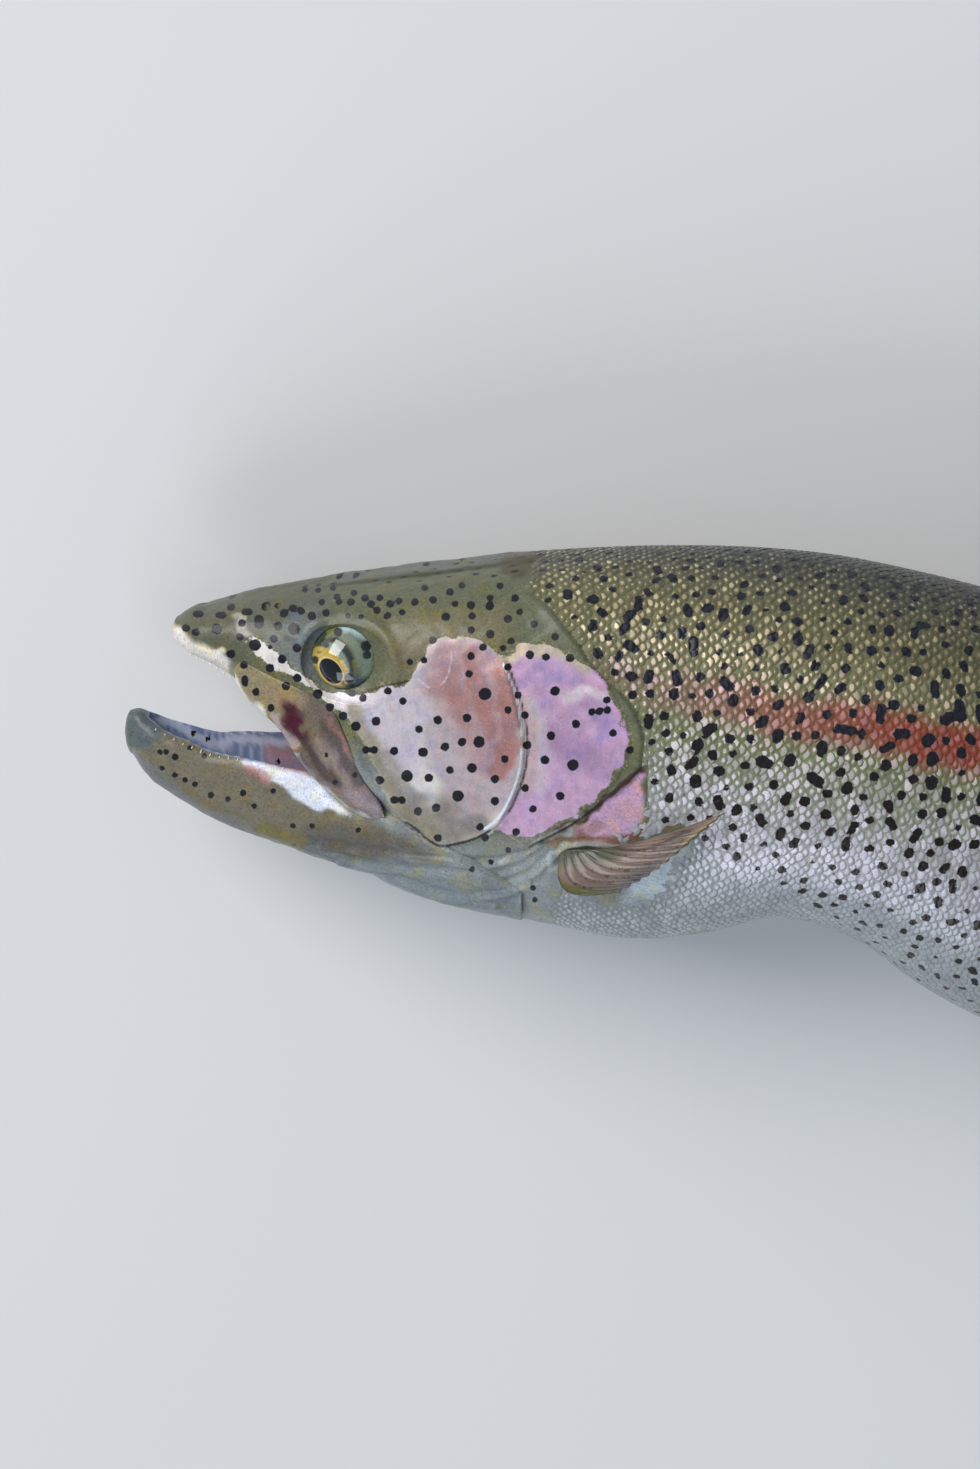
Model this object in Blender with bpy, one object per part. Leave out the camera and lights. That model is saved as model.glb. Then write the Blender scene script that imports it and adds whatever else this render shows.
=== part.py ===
"""Rainbow trout, life size, lying at rest on its right side.

The fish is first drawn straight, in millimetres: s runs from the snout to the tail, l towards its left side
and v towards its back. lie_down() then bends the spine, lays the fish on its right side with the head
towards -X and the back towards +Y, and gives metres.
"""

import math

import bmesh
import bpy
import numpy as np

MM = 0.001
GAP = 0.3

# Lengths along the fish
TRUNK_END = 456.0
TAIL_TIP = 520.0
HEAD_END = 95.0
SHOULDER_END = 165.0
TRUNK_SPLIT = 265.0
LOIN_END = 375.0
JAW_HINGE = 50.0

# Sections: s, back, belly, half width, level of the widest point, fullness above it and below it
BODY = (
    (-0.9, 31.0, 24.0, 5.6, 27.4, 2.2, 2.0),
    (2.4, 33.3, 22.2, 8.6, 27.2, 2.4, 2.1),
    (7.2, 34.2, 20.4, 11.0, 26.4, 2.6, 2.3),
    (13.0, 35.6, 17.0, 13.0, 25.3, 2.8, 2.6),
    (18.0, 37.0, 13.5, 14.8, 22.5, 2.9, 3.0),
    (28.0, 38.6, 4.0, 18.4, 16.0, 3.1, 3.4),
    (37.0, 39.5, -6.0, 21.2, 12.0, 3.3, 3.4),
    (45.0, 40.3, -13.5, 23.5, 9.0, 3.4, 3.2),
    (54.0, 41.5, -22.0, 25.8, 6.0, 3.5, 2.8),
    (63.0, 42.6, -37.0, 27.7, 3.0, 3.5, 2.4),
    (73.0, 43.9, -47.0, 29.5, 1.0, 3.3, 2.2),
    (85.0, 46.0, -50.8, 31.5, -1.0, 2.9, 2.1),
    (100.0, 48.6, -53.7, 33.3, -2.0, 2.5, 2.0),
    (120.0, 51.7, -55.9, 35.0, -1.0, 2.25, 2.0),
    (145.0, 54.5, -50.1, 38.2, -1.0, 2.1, 2.0),
    (162.0, 55.6, -42.5, 40.2, -1.0, 2.05, 2.0),
    (185.0, 55.1, -44.2, 41.8, -2.0, 2.05, 2.0),
    (208.0, 53.8, -53.8, 42.5, -3.0, 2.0, 2.0),
    (235.0, 51.2, -60.6, 42.3, -3.0, 2.0, 2.0),
    (265.0, 47.0, -58.5, 40.0, -3.0, 2.0, 2.0),
    (300.0, 41.0, -51.0, 34.5, -2.5, 2.0, 2.0),
    (335.0, 34.0, -41.0, 27.0, -2.0, 2.0, 2.0),
    (370.0, 27.5, -30.5, 19.5, -1.0, 2.0, 2.0),
    (400.0, 23.4, -24.4, 14.5, 0.0, 2.0, 2.0),
    (430.0, 21.6, -21.8, 10.6, 0.0, 2.0, 2.0),
    (448.0, 22.6, -22.6, 8.0, 0.0, 2.1, 2.1),
    (TRUNK_END, 23.6, -23.6, 6.0, 0.0, 2.2, 2.2),
)
JAW = (
    (-14.6, 4.6, -7.4, 3.6, -2.2, 2.3, 2.0),
    (-13.2, 5.0, -10.2, 4.8, -3.6, 2.6, 2.0),
    (-10.0, 3.6, -14.4, 6.2, -5.2, 3.0, 2.0),
    (-5.0, 1.0, -18.2, 7.6, -7.2, 3.3, 2.0),
    (0.0, -0.8, -21.6, 8.8, -9.8, 3.7, 2.0),
    (6.5, -2.8, -25.6, 10.2, -12.0, 4.0, 2.0),
    (17.0, -3.2, -29.8, 12.6, -15.0, 4.0, 2.0),
    (30.0, -3.8, -34.2, 15.8, -18.0, 4.0, 2.0),
    (45.0, -8.5, -39.2, 20.2, -21.0, 3.4, 2.0),
    (60.0, -14.5, -44.8, 24.0, -24.0, 2.8, 2.0),
    (75.0, -22.0, -49.4, 26.6, -28.0, 2.4, 2.0),
    (90.0, -30.0, -51.8, 24.0, -36.0, 2.2, 2.0),
)
MOUTH = (
    (-10.0, 7.0, -3.0, 2.2, 2.0, 2.0, 2.2),
    (-5.6, 14.0, -8.0, 4.2, 4.0, 2.0, 2.4),
    (2.0, 25.8, -13.0, 6.2, 6.0, 2.2, 2.6),
    (9.0, 25.6, -16.5, 8.2, 6.0, 2.6, 2.8),
    (18.0, 24.0, -20.0, 10.6, 4.0, 3.0, 3.0),
    (30.0, 16.5, -23.5, 13.6, -1.0, 3.2, 3.0),
    (42.0, 6.5, -25.0, 15.0, -6.0, 3.0, 2.8),
    (52.0, -4.0, -23.0, 12.0, -12.0, 2.4, 2.4),
    (60.0, -13.0, -18.0, 5.0, -15.5, 2.0, 2.0),
)
TONGUE = ((2.0, 3.0, 2.2), (6.0, 5.2, 3.4), (16.0, 6.6, 4.6), (30.0, 7.6, 5.6), (46.0, 8.0, 6.4))

# Spine: how far it turns towards the belly, in degrees, and the height of the middle plane over the floor
SPINE_TURN = (
    (-20.0, 0.0),
    (80.0, 0.0),
    (100.0, 2.6),
    (118.0, 4.6),
    (135.0, 5.4),
    (160.0, 8.0),
    (185.0, 10.5),
    (208.0, 13.0),
    (235.0, 14.5),
    (300.0, 13.5),
    (400.0, 10.0),
    (530.0, 7.0),
)
LIE_HEIGHT = (
    (-20.0, 27.2),
    (0.0, 28.5),
    (45.0, 31.3),
    (85.0, 33.8),
    (120.0, 35.4),
    (145.0, 37.4),
    (185.0, 41.0),
    (208.0, 41.7),
    (235.0, 41.5),
    (265.0, 39.2),
    (300.0, 33.7),
    (335.0, 26.2),
    (370.0, 18.7),
    (400.0, 13.7),
    (430.0, 9.8),
    (TRUNK_END, 5.9),
    (480.0, 3.2),
    (500.0, 1.5),
    (530.0, 0.35),
)
FIN_SAG = 6.0
FIN_SAG_SPAN = 50.0

# Head plates in the side view: matching points on the front or upper edge, and on the rear or lower edge
CHEEK_FRONT = ((67, 31.5), (60.5, 25), (57.6, 15), (57.8, 2), (60, -11), (64.5, -20), (70.5, -25))
CHEEK_REAR = ((83.2, 30.6), (86.2, 22.5), (88, 12.4), (88.8, 1.2), (87.5, -7.6), (84.2, -17), (77, -24.4))
GILL_FRONT = ((85.6, 31), (87.6, 22.7), (89.4, 12.4), (90.2, 1.2), (88.9, -7.9), (85.8, -17.6), (80, -26))
GILL_REAR = ((101, 33.8), (110.8, 25.6), (117.2, 17.6), (118.6, 8.8), (114.4, -0.8), (104, -11.6), (88, -24.6))
MAXILLA_TOP = ((15, 25), (25.5, 20.8), (33, 18.2), (39.8, 14.2), (44.2, 4.8), (48.2, -6.5), (53.8, -14.4))
MAXILLA_LOW = ((14, 18), (18.5, 13), (26.2, 6.2), (30.4, -1.2), (37.2, -9.8), (44.6, -16.2), (51.6, -18.6))
PLATE_DEPTH = 3.6
FIN_STAND_OFF = 2.2
ROOT_SHARE = 0.09

# Margins of the fins as (s, l, v), and the ends of a paired fin's root line in the side view
DORSAL_MARGIN = ((232.0, 0, 93.0), (246.0, 0, 100.0), (268.0, 0, 86.0), (291.0, 0, 63.0))
ANAL_MARGIN = ((352.0, 0, -83.0), (364.0, 0, -84.0), (379.0, 0, -65.0), (394.0, 0, -47.0))
ADIPOSE_MARGIN = ((369.0, 0, 43.5), (376.0, 0, 43.0), (379.5, 0, 37.5), (375.0, 0, 31.0))
PELVIC_BASE = ((236.0, -50.0), (245.0, -53.0))
PECTORAL_BASE_LEFT = ((114.5, -19.8), (103.5, -29.0))
PECTORAL_BASE_RIGHT = ((103.0, -29.0), (105.5, -36.0))
PECTORAL_LEFT = ((140.8, 42.5, -1.0), (131.5, 42.2, -12.0), (124.0, 41.0, -20.8), (116.2, 37.5, -28.6))
PECTORAL_RIGHT = ((154.0, 36.3, -36.0), (152.0, 35.6, -45.0), (141.0, 34.6, -53.0), (127.0, 33.6, -55.0))
PELVIC_LEFT = ((286.0, 37.0, -45.0), (288.0, 34.0, -52.0), (280.0, 29.0, -58.0), (266.0, 25.0, -60.0))
PELVIC_RIGHT = ((285.0, 33.0, -51.0), (285.0, 31.5, -60.0), (276.0, 29.0, -65.0), (264.0, 25.0, -66.0))

# Eyes and nostrils
EYE_RADIUS = 9.4
EYE_PLACE = (44.7, 14.4, 25.8)
ORBIT_SIZE = (12.0, 5.2, 11.4)
ORBIT_PLACE = (44.7, 23.4, 25.8)
ORBIT_LEAN = (0.28, -0.25)
NOSTRILS = ((23.4, 8.4, 37.2, 1.5), (26.6, 9.2, 37.6, 1.1))

# Colours
OLIVE_BACK = (0.16, 0.17, 0.07)
HEAD_OLIVE = (0.22, 0.22, 0.12)
CHEEK_PINK = (0.52, 0.36, 0.36)
JAW_GREY = (0.36, 0.34, 0.28)
FLANK_SILVER = (0.42, 0.40, 0.32)
FIN_BROWN = (0.33, 0.25, 0.16)
MOUTH_WHITE = (0.70, 0.62, 0.62)
EYE_DARK = (0.02, 0.02, 0.02)


def smooth(rows, column, s):
    """The table's column as a smooth curve through its rows, read at s, and held level past both ends."""
    x = np.array([row[0] for row in rows])
    y = np.array([row[column] for row in rows])
    step = np.diff(x)
    rise = np.diff(y) / step
    slope = np.empty(len(x))
    slope[1:-1] = (rise[:-1] * step[1:] + rise[1:] * step[:-1]) / (step[1:] + step[:-1])
    slope[0], slope[-1] = rise[0], rise[-1]
    s = np.clip(s, x[0], x[-1])
    i = np.clip(np.searchsorted(x, s) - 1, 0, len(x) - 2)
    t = (s - x[i]) / step[i]
    return (
        y[i] * (1 + 2 * t) * (1 - t) ** 2
        + slope[i] * step[i] * t * (1 - t) ** 2
        + y[i + 1] * t**2 * (3 - 2 * t)
        + slope[i + 1] * step[i] * t**2 * (t - 1)
    )


def section(profile, s):
    """Back, belly, half width, widest level and the two fullnesses at s."""
    return [smooth(profile, column, s) for column in range(1, 7)]


def ring(profile, s, around, inset=0.0):
    """One cross-section as points (s, l, v), starting on the left side and going over the back."""
    back, belly, half, level, full_up, full_low = section(profile, s)
    back, belly, half = back - inset, belly + inset, half - inset
    angle = np.arange(around) * 2 * math.pi / around
    cosine, sine = np.cos(angle), np.sin(angle)
    power = np.where(sine >= 0, 2 / full_up, 2 / full_low)
    reach = np.where(sine >= 0, back - level, level - belly)
    side = half * np.sign(cosine) * np.abs(cosine) ** power
    height = level + reach * np.sign(sine) * np.abs(sine) ** power
    return np.column_stack([np.full(around, s), side, height])


def side_reach(profile, s, v):
    """How far the flank reaches from the middle plane at s and v."""
    back, belly, half, level, full_up, full_low = section(profile, s)
    up = v >= level
    share = np.clip(np.where(up, (v - level) / (back - level), (level - v) / (level - belly)), 0, 0.999)
    power = np.where(up, full_up, full_low)
    return half * (1 - share**power) ** (1 / power)


def cheek_reach(s, v):
    """The flank of the head, carried on below its widest level as a nearly upright wall."""
    back, belly, half, level, full_up, full_low = section(BODY, s)
    wall = half * (1 - np.clip((level - v) / 60, 0, 1) ** 2)
    return np.where((v < level) & (s < 60), wall, side_reach(BODY, s, v))


def solid(name, points, faces, colour=None):
    """A mesh object from points in millimetres, still in the straight fish's own axes."""
    mesh = bpy.data.meshes.new(name)
    mesh.from_pydata((np.asarray(points) * MM).tolist(), [], [list(map(int, face)) for face in faces])
    obj = bpy.data.objects.new(name, mesh)
    bpy.context.scene.collection.objects.link(obj)
    recalculate(mesh)
    if colour:
        mesh.materials.append(finish(name, colour))
    return obj


def recalculate(mesh):
    """Turns every face outwards."""
    bm = bmesh.new()
    bm.from_mesh(mesh)
    bmesh.ops.recalc_face_normals(bm, faces=bm.faces)
    bm.to_mesh(mesh)
    bm.free()


def finish(name, colour, roughness=0.35, metallic=0.0):
    """A plain surface of one colour."""
    material = bpy.data.materials.new(name)
    material.use_nodes = True
    shader = material.node_tree.nodes["Principled BSDF"]
    shader.inputs["Base Color"].default_value = (*colour, 1.0)
    shader.inputs["Roughness"].default_value = roughness
    shader.inputs["Metallic"].default_value = metallic
    return material


def loft(name, profile, stations, around, nose=None, inset=0.0):
    """A closed body through the profile's rings, with a point in front where nose gives its place."""
    points = [ring(profile, s, around, inset) for s in stations]
    faces = []
    for k in range(len(stations) - 1):
        low, high = k * around, (k + 1) * around
        for i in range(around):
            j = (i + 1) % around
            faces.append((low + i, low + j, high + j, high + i))
    last = (len(stations) - 1) * around
    faces.append([last + i for i in range(around)])
    if nose:
        tip = len(stations) * around
        points.append(np.array([nose]))
        faces += [(tip, (i + 1) % around, i) for i in range(around)]
    else:
        faces.append([around - 1 - i for i in range(around)])
    return solid(name, np.vstack(points), faces)


def mouth_hollow(inset=0.0):
    """The space inside the mouth, or one smaller all round by inset."""
    return loft("mouth", MOUTH, (-10, -8, -5, -1.5, 3, 9, 18, 27, 36, 44, 52, 60), 16, inset=inset)


def boolean(obj, operation, others):
    """Joins, cuts or intersects obj with closed meshes, applies it and removes them."""
    helpers = bpy.data.collections.new("helpers")
    bpy.context.scene.collection.children.link(helpers)
    for other in others:
        bpy.context.scene.collection.objects.unlink(other)
        helpers.objects.link(other)
    modifier = obj.modifiers.new("shape", "BOOLEAN")
    modifier.operation = operation
    modifier.solver = "EXACT"
    modifier.operand_type = "COLLECTION"
    modifier.collection = helpers
    graph = bpy.context.evaluated_depsgraph_get()
    made = bpy.data.meshes.new_from_object(obj.evaluated_get(graph))
    obj.modifiers.clear()
    obj.data = made
    for other in others:
        bpy.data.objects.remove(other)
    bpy.data.collections.remove(helpers)
    keep_largest(obj)
    return obj


def keep_largest(obj):
    """Drops every closed surface of the mesh but the one that fills the most space."""
    bm = bmesh.new()
    bm.from_mesh(obj.data)
    bmesh.ops.remove_doubles(bm, verts=bm.verts, dist=2e-6)
    bmesh.ops.triangulate(bm, faces=bm.faces)
    waiting, shells = set(bm.faces), []
    while waiting:
        shell, edge_of = set(), [waiting.pop()]
        while edge_of:
            face = edge_of.pop()
            shell.add(face)
            for edge in face.edges:
                for near in edge.link_faces:
                    if near in waiting:
                        waiting.remove(near)
                        edge_of.append(near)
        shells.append(shell)
    shells.sort(key=shell_volume)
    for shell in shells[:-1]:
        bmesh.ops.delete(bm, geom=list(shell), context="FACES")
    bm.to_mesh(obj.data)
    bm.free()


def shell_volume(shell):
    """The space that a shell of triangles encloses."""
    total = 0.0
    for face in shell:
        a, b, c = (vert.co for vert in face.verts)
        total += a.dot(b.cross(c)) / 6
    return abs(total)


def block(low, high):
    """A closed box between two corners, in millimetres."""
    x, y, z = zip(low, high)
    corners = [(x[i], y[j], z[k]) for i in (0, 1) for j in (0, 1) for k in (0, 1)]
    faces = ((0, 1, 3, 2), (4, 6, 7, 5), (0, 4, 5, 1), (2, 3, 7, 6), (0, 2, 6, 4), (1, 5, 7, 3))
    return solid("block", corners, faces)


def wedge(outline, half_width=90.0):
    """A prism across the whole fish over an outline of (s, v) points."""
    count = len(outline)
    points = [(s, side, v) for side in (-half_width, half_width) for s, v in outline]
    faces = [list(range(count)), list(range(2 * count - 1, count - 1, -1))]
    faces += [(i, (i + 1) % count, count + (i + 1) % count, count + i) for i in range(count)]
    return solid("wedge", points, faces)


def ball(name, centre, radii, colour=None, turns=16, rows=8, lean=(0.0, 0.0)):
    """A closed ellipsoid with its poles on the l axis. lean is how far it slants outwards along s and v."""
    points, faces = [], []
    for j in range(1, rows):
        lift = math.pi * j / rows
        for i in range(turns):
            turn = 2 * math.pi * i / turns
            points.append(
                (
                    centre[0] + radii[0] * math.sin(lift) * math.cos(turn),
                    centre[1] + radii[1] * math.cos(lift),
                    centre[2] + radii[2] * math.sin(lift) * math.sin(turn),
                )
            )
    for j in range(rows - 2):
        for i in range(turns):
            k = (i + 1) % turns
            faces.append((j * turns + i, j * turns + k, (j + 1) * turns + k, (j + 1) * turns + i))
    top, bottom = len(points), len(points) + 1
    points.append((centre[0], centre[1] + radii[1], centre[2]))
    points.append((centre[0], centre[1] - radii[1], centre[2]))
    last = (rows - 2) * turns
    for i in range(turns):
        k = (i + 1) % turns
        faces.append((top, k, i))
        faces.append((bottom, last + i, last + k))
    points = np.array(points)
    points[:, 1] += lean[0] * (points[:, 0] - centre[0]) + lean[1] * (points[:, 2] - centre[2])
    return solid(name, points, faces, colour)


def edge_points(outline, count):
    """count points spaced evenly along a smooth line through the outline's points."""
    knots = np.array(outline, float)
    way = np.concatenate([[0.0], np.cumsum(np.linalg.norm(np.diff(knots, axis=0), axis=1))])
    rows = np.column_stack([way, knots])
    t = np.linspace(0, way[-1], count)
    return np.column_stack([smooth(rows, 1, t), smooth(rows, 2, t)])


def sheet_solid(name, outer, inner, colour=None):
    """A closed slab between two grids of points of one shape, with like triangles on both faces."""
    rows, columns = outer.shape[:2]
    count = rows * columns
    points = np.vstack([outer.reshape(-1, 3), inner.reshape(-1, 3)])
    faces = []
    for i in range(rows - 1):
        for j in range(columns - 1):
            a, b = i * columns + j, i * columns + j + 1
            c, d = a + columns, b + columns
            faces += [(a, c, d), (a, d, b)]
            faces += [(count + a, count + d, count + c), (count + a, count + b, count + d)]
    rim = [j for j in range(columns)]
    rim += [i * columns + columns - 1 for i in range(1, rows)]
    rim += [(rows - 1) * columns + j for j in range(columns - 2, -1, -1)]
    rim += [i * columns for i in range(rows - 2, 0, -1)]
    for a, b in zip(rim, rim[1:] + rim[:1]):
        faces += [(a, b, count + b), (a, count + b, count + a)]
    return solid(name, points, faces, colour)


def plate(name, front, rear, side, rise, depth, grow=0.0, lift=0.0, colour=None, taper=0, rows=11, columns=4):
    """A plate in the side of the head between two edges, standing rise[0] to rise[1] proud of it.

    taper is the number of rows at its first end over which it comes up from the surface.
    """
    first, second = edge_points(front, rows), edge_points(rear, rows)
    across = second - first
    across /= np.linalg.norm(across, axis=1)[:, None]
    first, second = first - across * grow, second + across * grow
    for end, step in ((0, 1), (-1, -2)):
        for line in (first, second):
            way = line[end] - line[step]
            line[end] += way / np.linalg.norm(way) * grow
    share = np.linspace(0, 1, columns)[None, :, None]
    flat = first[:, None, :] * (1 - share) + second[:, None, :] * share
    proud = rise[0] + (rise[1] - rise[0]) * share[..., 0]
    proud = proud * np.clip(np.arange(rows) / taper, 0, 1)[:, None] if taper else proud
    reach = cheek_reach(flat[..., 0], flat[..., 1])
    outer = np.dstack([flat[..., 0], side * (reach + proud + lift), flat[..., 1]])
    inner = np.dstack([flat[..., 0], side * (reach - depth), flat[..., 1]])
    return sheet_solid(name, outer, inner, colour)


def fin(name, bases, tips, normals, halves, steps=6, bow=(0.0, 0.0, 0.0), colour=FIN_BROWN):
    """A fin of rays raised from a thin web. halves are half the thickness at root, ray and web.

    bow is how far the rays curve at their middle, as one step for all rays or one for each.
    """
    root, ray_half, web_half = halves
    bases, tips, normals = (np.asarray(a, float) for a in (bases, tips, normals))
    bows = np.broadcast_to(np.asarray(bow, float), bases.shape)
    columns = 2 * len(bases) - 1
    place = np.arange(columns) / 2
    low = np.floor(place).astype(int)
    high = np.minimum(low + 1, len(bases) - 1)
    share = (place - low)[:, None]
    base = bases[low] * (1 - share) + bases[high] * share
    tip = tips[low] * (1 - share) + tips[high] * share
    bulge = bows[low] * (1 - share) + bows[high] * share
    normal = normals[low] * (1 - share) + normals[high] * share
    normal /= np.linalg.norm(normal, axis=1)[:, None]
    is_web = (np.arange(columns) % 2 == 1)[:, None]
    tip = np.where(is_web, base + (tip - base) * 0.97, tip)
    outer, inner = [], []
    for t in np.linspace(0, 1, steps) ** 1.2:
        centre = base + (tip - base) * t + bulge * math.sin(math.pi * t)
        blend = math.exp(-t / ROOT_SHARE)
        thin = np.where(is_web, web_half, ray_half * (1 - 0.45 * t))
        half = root * blend + thin * (1 - blend)
        outer.append(centre + normal * half)
        inner.append(centre - normal * half)
    return sheet_solid(name, np.array(outer), np.array(inner), colour)


def margin(outline, rays):
    """Ray tips spaced evenly along a smooth margin."""
    knots = np.array(outline, float)
    way = np.concatenate([[0.0], np.cumsum(np.linalg.norm(np.diff(knots, axis=0), axis=1))])
    rows = np.column_stack([way, knots])
    t = np.linspace(0, way[-1], rays)
    return np.column_stack([smooth(rows, column, t) for column in (1, 2, 3)])


def tooth_row(places, length, half, way):
    """Small cones with their roots sunk in the jaw. way is +1 for teeth that stand towards the back."""
    teeth = []
    for s, side, v in places:
        corners = [(half * math.cos(turn), half * math.sin(turn)) for turn in np.arange(4) * math.pi / 2]
        points = [(s + ahead, side + out, v - way * length) for ahead, out in corners]
        points.append((s + 0.3 * length, side * 0.985, v + way * length))
        faces = [(0, 1, 2, 3)] + [(i, (i + 1) % 4, 4) for i in range(4)]
        teeth.append(solid("tooth", points, faces))
    return teeth


def whole_flesh():
    """Head, jaw and trunk as one closed body, with the mouth, orbits and nostrils hollowed out."""
    stations = [-0.9, 0.8, 3.4, 7.4, 12, 17, 22, 27, 32.5, 38, 44, 50, 56, 62, 68, 75, 83, 91, 100]
    stations += list(np.linspace(112, TRUNK_END, 21))
    flesh = loft("flesh", BODY, stations, 32, nose=(-2.6, 0.0, 27.2))
    jaw_stations = [-14.6, -13.2, -11, -8, -4.5, 0, 6, 13, 21, 30, 40, 51, 62, 74, 84, 90]
    jaw = loft("jaw", JAW, jaw_stations, 24, nose=(-16.4, 0.0, -1.8))
    boolean(flesh, "UNION", [jaw])
    boolean(flesh, "DIFFERENCE", [mouth_hollow()])
    for side in (1, -1):
        place = (ORBIT_PLACE[0], side * ORBIT_PLACE[1], ORBIT_PLACE[2])
        lean = [side * slope for slope in ORBIT_LEAN]
        boolean(flesh, "DIFFERENCE", [ball("orbit", place, ORBIT_SIZE, lean=lean)])
        centre = (EYE_PLACE[0], side * EYE_PLACE[1], EYE_PLACE[2])
        boolean(flesh, "DIFFERENCE", [ball("socket", centre, [EYE_RADIUS + GAP] * 3, turns=18, rows=10)])
        for s, l, v, size in NOSTRILS:
            pit = ball("nostril", (s, side * l, v), (size, size * 1.6, size * 1.1), turns=7, rows=4)
            boolean(flesh, "DIFFERENCE", [pit])
    return flesh


def part_of(flesh, name, outline, colour):
    """The piece of the flesh inside an outline of (s, v) points."""
    piece = bpy.data.objects.new(name, flesh.data.copy())
    bpy.context.scene.collection.objects.link(piece)
    boolean(piece, "INTERSECT", [wedge(outline)])
    piece.data.materials.clear()
    piece.data.materials.append(finish(name, colour))
    return piece


def mouth_line(s):
    """Level of the plane through the mouth that parts the head from the jaw and throat."""
    return -9.0 - (s - 45.0) * 0.33


def flesh_parts(flesh):
    """Head, lower jaw, throat and four lengths of trunk, parted by thin cuts."""
    half = GAP / 2
    far, high = -40.0, 120.0
    upper = [
        (far, mouth_line(far) + half),
        (HEAD_END - half, mouth_line(HEAD_END) + half),
        (HEAD_END - half, high),
        (far, high),
    ]
    lower = [
        (far, mouth_line(far) - half),
        (far, -high),
        (JAW_HINGE + 4 - half, -high),
        (JAW_HINGE - half, mouth_line(JAW_HINGE) - half),
    ]
    under = [
        (JAW_HINGE + half, mouth_line(JAW_HINGE) - half),
        (JAW_HINGE + 4 + half, -high),
        (HEAD_END - half, -high),
        (HEAD_END - half, mouth_line(HEAD_END) - half),
    ]
    parts = {
        "head": part_of(flesh, "head", upper, HEAD_OLIVE),
        "lower_jaw": part_of(flesh, "lower_jaw", lower, JAW_GREY),
        "throat": part_of(flesh, "throat", under, JAW_GREY),
    }
    cuts = (HEAD_END, SHOULDER_END, TRUNK_SPLIT, LOIN_END, TRUNK_END + 10)
    for name, start, end in zip(("shoulder", "trunk", "loin", "tail_stalk"), cuts, cuts[1:]):
        outline = [(start + half, -high), (end - half, -high), (end - half, high), (start + half, high)]
        parts[name] = part_of(flesh, name, outline, FLANK_SILVER)
    return parts


def head_plates(parts):
    """Cheek, gill cover and maxilla on each side, each in a pocket that leaves a gap round it."""
    kinds = (
        ("cheek", CHEEK_FRONT, CHEEK_REAR, (0.2, 1.2), 0, CHEEK_PINK, ("head", "throat")),
        ("gill_cover", GILL_FRONT, GILL_REAR, (0.3, 1.4), 0, CHEEK_PINK, ("head", "throat", "shoulder")),
        ("maxilla", MAXILLA_TOP, MAXILLA_LOW, (0.9, 1.3), 3, HEAD_OLIVE, ("head", "lower_jaw", "throat")),
    )
    for side, word in ((1, "left"), (-1, "right")):
        for kind, front, rear, rise, taper, colour, carriers in kinds:
            name = f"{kind}_{word}"
            parts[name] = plate(name, front, rear, side, rise, PLATE_DEPTH, colour=colour, taper=taper)
            for carrier in carriers:
                pocket = plate("pocket", front, rear, side, rise, PLATE_DEPTH + GAP, grow=GAP, lift=8.0)
                boolean(parts[carrier], "DIFFERENCE", [pocket])


def jaw_details(parts):
    """The tongue, and the small teeth that the open mouth shows."""
    rows, columns = 9, 5
    s = np.linspace(TONGUE[0][0], TONGUE[-1][0], rows)
    across = np.linspace(-1, 1, columns)
    half = smooth(TONGUE, 1, s)[:, None] * across[None, :]
    centre, floor, width, level, full_up, full_low = (smooth(MOUTH, c, s)[:, None] for c in range(1, 7))
    bed = level - (level - floor) * (1 - np.abs(half / width) ** full_low) ** (1 / full_low)
    crown = bed + 1.2 + smooth(TONGUE, 2, s)[:, None] * (1 - across[None, :] ** 2) ** 0.5
    along = np.broadcast_to(s[:, None], half.shape)
    tongue = sheet_solid("tongue", np.dstack([along, half, crown]), np.dstack([along, half, bed - 2.0]))
    parts["tongue"] = boolean(tongue, "INTERSECT", [mouth_hollow(GAP)])
    tongue.data.materials.append(finish("tongue", MOUTH_WHITE))

    low_places, high_places = [], []
    for side in (1, -1):
        for s in np.linspace(-8.0, 27.0, 10):
            rim = smooth(JAW, 3, s) - 1.5
            low_places.append((s, side * rim, rim_level(s)))
        for s in np.linspace(2.5, 12.0, 5):
            high_places.append((s, side * (smooth(BODY, 3, s) * 0.72), smooth(BODY, 2, s) + 1.3))
    boolean(parts["lower_jaw"], "UNION", tooth_row(low_places, 1.3, 0.55, 1))
    boolean(parts["head"], "UNION", tooth_row(high_places, 1.3, 0.55, -1))


def rim_level(s):
    """Level of the lower jaw's rim, where the mouth's hollow meets the jaw's outer side."""
    top, _, half, level, full_up, _ = section(JAW, s)
    share = np.clip((half - 1.5) / half, 0, 1)
    return level + (top - level) * (1 - share**full_up) ** (1 / full_up)


def throat_ridges(parts):
    """Branchiostegal rays as low curved ridges along each side of the throat."""
    ridges = []
    for side in (1, -1):
        for k in range(3):
            drop = 4.2 * k
            upper = ((57 + k, -31 - drop * 0.8), (70, -33.5 - drop), (83, -33 - drop), (94, -29.5 - drop))
            lower = tuple((s, v - 1.9) for s, v in upper)
            strip = throat_strip(upper, lower, side)
            ridges.append(strip)
    boolean(parts["throat"], "UNION", ridges)


def throat_strip(upper, lower, side, rows=7):
    """One low ridge whose root is sunk in the throat."""
    first, second = edge_points(upper, rows), edge_points(lower, rows)
    share = np.array([0.0, 0.5, 1.0])[None, :, None]
    flat = first[:, None, :] * (1 - share) + second[:, None, :] * share
    s, v = flat[..., 0], flat[..., 1]
    reach = np.maximum(side_reach(BODY, s, v), side_reach(JAW, s, v))
    proud = np.array([-0.3, 0.8, -0.3])[None, :]
    outer = np.dstack([s, side * (reach + proud), v])
    inner = np.dstack([s, side * (reach - 2.0), v])
    return sheet_solid("ridge", outer, inner)


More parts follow.
